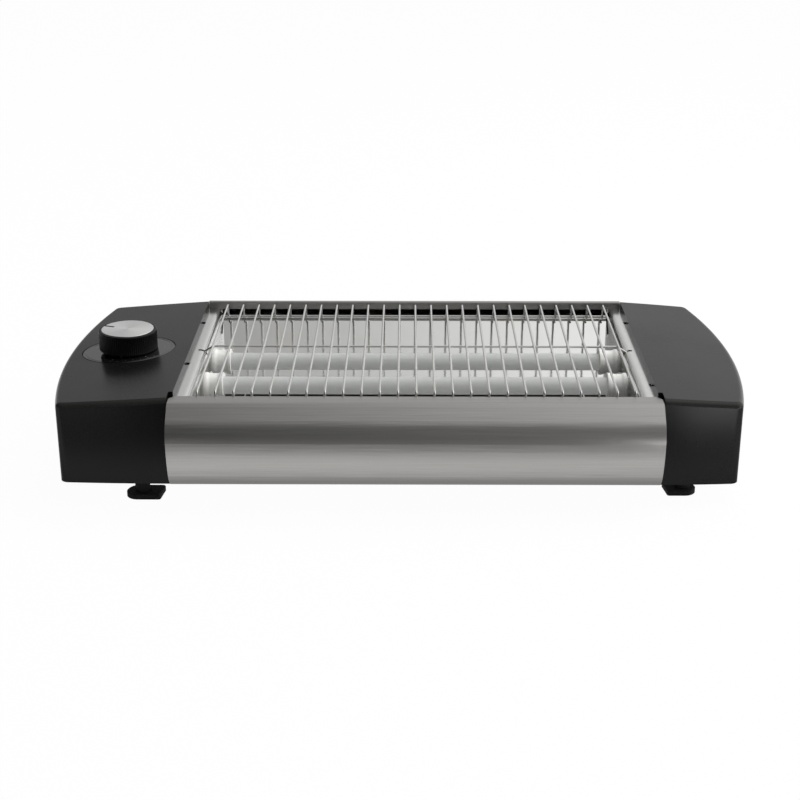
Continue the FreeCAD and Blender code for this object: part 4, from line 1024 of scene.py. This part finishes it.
@dataclass
class Heaters:
    """The ceramic holders of both tubes, and the wound coils inside the tubes."""

    bench: Bench
    tube_y: tuple[float, float] = (-23.65, 18.35)
    tube_z: float = 48.3
    left_face_x: float = -104.4
    right_face_x: float = 123.0
    head_radius: float = 7.9
    waist_radius: float = 7.25
    head_length: float = 11.6
    flange_length: float = 1.9
    flare_length: float = 1.3
    rim_rounding: float = 0.5
    flange_rounding: float = 0.6
    waist_rounding: float = 0.9
    seat_rounding: float = 0.25
    edge_rounding: float = 0.2
    neck_rounding: float = 0.4
    collar_radius: float = 6.3
    length: float = 17.6
    collar_end: float = 12.8
    neck_radius: float = 5.5
    seat_radius: float = 5.45
    seat_depth: float = 8.0
    pin_radius: float = 1.4
    holder_segments: int = 72
    coil_inset: float = 5.0
    coil_radius: float = 3.0
    coil_wire_radius: float = 0.28
    coil_pitch: float = 1.9
    points_per_turn: int = 12

    def build(self) -> None:
        """Builds the four holders and the two coils."""
        for end, y in zip(("front", "rear"), self.tube_y, strict=True):
            self._holder(end, "left", y, self.left_face_x, -1)
            self._holder(end, "right", y, self.right_face_x, 1)
            self._coil(end, y)

    def _holder(self, end: str, side: str, y: float, face_x: float, way: int) -> None:
        """Builds a holder: a spool with a seat for the tube, a collar and a neck.

        Args:
            end: "front" or "rear".
            side: "left" or "right".
            y: The tube's Y.
            face_x: X of the face that the tube goes into.
            way: 1 where the holder runs to the right, or -1.
        """
        waist_start = self.flange_length + self.flare_length
        outline = softened(
            [
                (self.seat_radius, 0.0, self.seat_rounding),
                (self.head_radius, 0.0, self.rim_rounding),
                (self.head_radius, self.flange_length, self.flange_rounding),
                (self.waist_radius, waist_start, self.waist_rounding),
                (self.waist_radius, self.head_length - waist_start, self.waist_rounding),
                (self.head_radius, self.head_length - self.flange_length, self.flange_rounding),
                (self.head_radius, self.head_length, self.rim_rounding),
                (self.collar_radius, self.head_length, 0.0),
                (self.collar_radius, self.collar_end, self.edge_rounding),
                (self.neck_radius, self.collar_end, 0.0),
                (self.neck_radius, self.length, self.neck_rounding),
                (self.pin_radius, self.length, self.edge_rounding),
                (self.pin_radius, self.seat_depth, 0.0),
                (self.seat_radius, self.seat_depth, 0.0),
            ]
        )
        along = Matrix.Rotation(math.radians(90.0 * way), 4, "Y")
        place = Matrix.Translation((face_x, y, self.tube_z)) @ along
        shape = turned(outline, self.holder_segments, place, closed=True)
        name = f"{end}_{side}"
        self.bench.mesh_piece(
            f"{name}_spool", shape, Slot.CERAMIC, Body.HOUSING, f"{name}_tube_holder"
        )

    def _coil(self, end: str, y: float) -> None:
        """Builds a coil as one wound wire.

        Args:
            end: "front" or "rear".
            y: The tube's Y.
        """
        start = self.left_face_x - self.coil_inset
        length = self.right_face_x + self.coil_inset - start
        count = int(length / self.coil_pitch * self.points_per_turn)
        radius = self.coil_radius - self.coil_wire_radius
        curve = bpy.data.curves.new(f"{end}_winding", "CURVE")
        curve.dimensions = "3D"
        curve.bevel_depth = self.coil_wire_radius * MM
        curve.bevel_resolution = 1
        curve.use_fill_caps = True
        spline = curve.splines.new("POLY")
        spline.points.add(count)
        inset = self.coil_wire_radius
        for number, point in enumerate(spline.points):
            turn = math.tau * number / self.points_per_turn
            x = start + inset + (length - 2 * inset) * number / count
            place = (x, y + radius * math.cos(turn), self.tube_z + radius * math.sin(turn))
            point.co = (*(part * MM for part in place), 1.0)
        winding = bpy.data.objects.new(f"{end}_winding", curve)
        self.bench.hand_over(winding, Slot.COIL, Body.HOUSING, (f"{end}_heating_coil",))


@dataclass
class CarriedNodes:
    """The CAD nodes that keep their shape."""

    bench: Bench

    def build(self) -> None:
        """Puts each node's finish on it."""
        slots = {slot.value: slot for slot in Slot}
        for name, node in sorted(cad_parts.items()):
            if name in self.bench.replaced:
                continue
            for place in node.material_slots:
                own_name = place.material.name.split(".")[0]
                place.material = self.bench.shelf.materials[slots[own_name]]
            log.info("%s keeps its shape", name)


@dataclass(frozen=True)
class Lamp:
    """A soft lamp that points at the toaster, in metres."""

    name: str
    place: tuple[float, float, float]
    size: tuple[float, float]
    watts: float

    def hang(self) -> None:
        """Adds the lamp, which mirrors don't show."""
        data = bpy.data.lights.new(self.name, "AREA")
        data.shape = "RECTANGLE"
        data.size, data.size_y = self.size
        data.energy = self.watts
        lamp = bpy.data.objects.new(self.name, data)
        lamp.location = self.place
        lamp.rotation_euler = (-Vector(self.place)).to_track_quat("-Z", "Y").to_euler()
        lamp.visible_glossy = False
        bpy.context.collection.objects.link(lamp)


@dataclass
class Studio:
    """The floor, the light and the camera.

    A level is a brightness, where 1 is white. The room's are for all rays but the camera's, and the
    floor's for glossy rays only. A pair of places or of parts of a direction says where a soft step
    from one level to another starts and ends.
    """

    camera_mm: tuple[float, float, float] = (5.0, -871.2, 370.6)
    lens_mm: float = 68.59
    sensor_mm: float = 36.0
    clip_start_m: float = 0.01
    down_deg: float = 21.36
    left_deg: float = 0.319
    floor_x_mm: tuple[float, float] = (-3000.0, 3000.0)
    floor_y_mm: tuple[float, float] = (-375.0, 4000.0)
    floor_white: float = 0.97
    paper_per_mm: float = 0.4
    paper_dark: tuple[float, float, float] = (0.8, 0.8, 0.8)
    paper_pale: tuple[float, float, float] = (0.84, 0.84, 0.83)
    paper_roughness: float = 0.8
    near_y_mm: tuple[float, float] = (-190.0, -148.0)
    # Where the painted shadow of the toaster in the floor's gloss starts and ends.
    painted_shadow_y_mm: tuple[float, float] = (-130.0, -92.0)
    far_level: float = 0.22
    side_y_mm: tuple[float, float] = (-224.0, -196.0)
    near_level: float = 1.0
    # The level of that painted shadow.
    painted_shadow_level: float = 0.45
    side_x_mm: tuple[float, float] = (172.0, 205.0)
    left_level: float = 0.9
    right_level: float = 5.0
    front_level: float = 0.2
    room_level: float = 0.64
    front_y: tuple[float, float] = (-0.62, -0.36)
    back_y: tuple[float, float] = (0.3, 0.9)
    lean_x: float = 0.4
    front_lean: float = 0.95
    back_lean: float = 0.27
    lamps: tuple[Lamp, ...] = (
        Lamp("soft_lamp", (0.5, 0.3, 1.5), (1.6, 1.2), 14.0),
        Lamp("side_lamp", (1.4, 0.1, 0.8), (0.8, 0.8), 12.0),
    )

    def build(self) -> None:
        """Sets up all of it."""
        bpy.context.scene.view_settings.view_transform = "Standard"
        self._world()
        self._floor()
        for lamp in self.lamps:
            lamp.hang()
        self._camera()

    def _world(self) -> None:
        """Builds a room that is white to the camera.

        To all other rays it is dark in front, and brighter on the right than on the left.
        """
        world = bpy.data.worlds.new("room")
        bpy.context.scene.world = world
        shader = Shader(world)
        direction = shader.take("TexCoord", output="Generated")
        side, back, _ = shader.parts(direction)
        away = shader.smooth(back, *self.front_y)
        level = away * (self.room_level - self.front_level) + self.front_level
        to_back = shader.smooth(back, *self.back_y)
        lean = to_back * (self.back_lean - self.front_lean) + self.front_lean
        to_right = shader.smooth(side, -self.lean_x, self.lean_x) * 2 - 1
        lit = level * (to_right * lean + 1)
        rays = shader.add("LightPath").outputs
        seen = Signal(shader, rays["Is Camera Ray"])
        shown = seen + (1 - seen) * lit
        background = shader.take("Background", None, {"Color": shown, "Strength": 1.0})
        shader.add("OutputWorld", None, {"Surface": background})

    def _floor(self) -> None:
        """Builds the pale surface that the toaster stands on."""
        floor = self._flat("floor", self.floor_x_mm, self.floor_y_mm)
        material = bpy.data.materials.new("floor")
        shader = Shader(material)
        paper = shader.noise(shader.place(), self.paper_per_mm, detail=4)
        colour = shader.blend(paper, self.paper_dark, self.paper_pale)
        matt = shader.surface({"Base Color": colour, "Roughness": self.paper_roughness})
        rays = shader.add("LightPath").outputs
        mirrored = Signal(shader, rays["Is Glossy Ray"])
        seen = shader.clamped(
            Signal(shader, rays["Is Camera Ray"]) + Signal(shader, rays["Is Transmission Ray"])
        )
        level = shader.blend(mirrored, (1.0, 1.0, 1.0), self._mirrored(shader))
        glow = shader.take("Emission", None, {"Color": level, "Strength": 1.0})
        share = shader.math("MAXIMUM", seen * self.floor_white, mirrored)
        shader.finish(shader.take("MixShader", None, {0: share, 1: matt, 2: glow}))
        floor.data.materials.append(material)

    def _mirrored(self, shader: Shader) -> Signal:
        """Returns how bright the floor is in a gloss.

        It is white by the toaster, greyer along its front and rear edges with a painted shadow of the
        toaster, dark in front of it and brighter again to both sides, farther out.

        Args:
            shader: The floor's tree.

        Returns:
            The level.
        """
        x, y, _ = shader.parts(shader.place())
        near_low, near_high = (part * MM for part in self.near_y_mm)
        shadow_low, shadow_high = (part * MM for part in self.painted_shadow_y_mm)
        near = shader.smooth(y, near_low, near_high)
        # Painted shadow: the floor's gloss level is lowered under the toaster and along its edges,
        # where its shadow falls.
        painted_shadow = shader.smooth(y, shadow_low, shadow_high) - shader.smooth(y, -shadow_high, -shadow_low)
        inner, outer = (part * MM for part in self.side_x_mm)
        right = shader.smooth(x, inner, outer) * (self.right_level - self.far_level)
        left = shader.smooth(x * -1, inner, outer) * (self.left_level - self.far_level)
        side_low, side_high = (part * MM for part in self.side_y_mm)
        beyond = 1 - shader.smooth(y, side_low, side_high)
        far = self.far_level + (right + left) * beyond
        white = self.near_level + painted_shadow * (self.painted_shadow_level - self.near_level)
        return far + near * (white - far)

    @staticmethod
    def _flat(
        name: str, span_x: tuple[float, float], span_y: tuple[float, float]
    ) -> bpy.types.Object:
        """Builds a rectangle at Z 0 that belongs to the studio.

        Args:
            name: Its name.
            span_x: Its lowest and highest X.
            span_y: Its lowest and highest Y.

        Returns:
            The rectangle.
        """
        (x0, x1), (y0, y1) = span_x, span_y
        corners = [(x0, y0), (x1, y0), (x1, y1), (x0, y1)]
        mesh = bpy.data.meshes.new(name)
        mesh.from_pydata([(x * MM, y * MM, 0.0) for x, y in corners], [], [(0, 1, 2, 3)])
        flat = bpy.data.objects.new(name, mesh)
        bpy.context.collection.objects.link(flat)
        return flat

    def _camera(self) -> None:
        """Places the camera as the photograph's."""
        data = bpy.data.cameras.new("camera")
        data.lens = self.lens_mm
        data.sensor_width = self.sensor_mm
        data.clip_start = self.clip_start_m
        camera = bpy.data.objects.new("camera", data)
        camera.location = Vector(self.camera_mm) * MM
        tilt = math.radians(90 - self.down_deg)
        camera.rotation_euler = (tilt, 0.0, math.radians(self.left_deg))
        bpy.context.collection.objects.link(camera)
        bpy.context.scene.camera = camera


def main() -> None:
    """Builds the studio and dresses the toaster."""
    logging.basicConfig(level=logging.INFO, format="%(message)s")
    Studio().build()
    bench = Bench(Shelf())
    TimerKnob(bench).build()
    Dial(bench).build()
    Heaters(bench).build()
    CarriedNodes(bench).build()


if __name__ == "__main__":
    main()
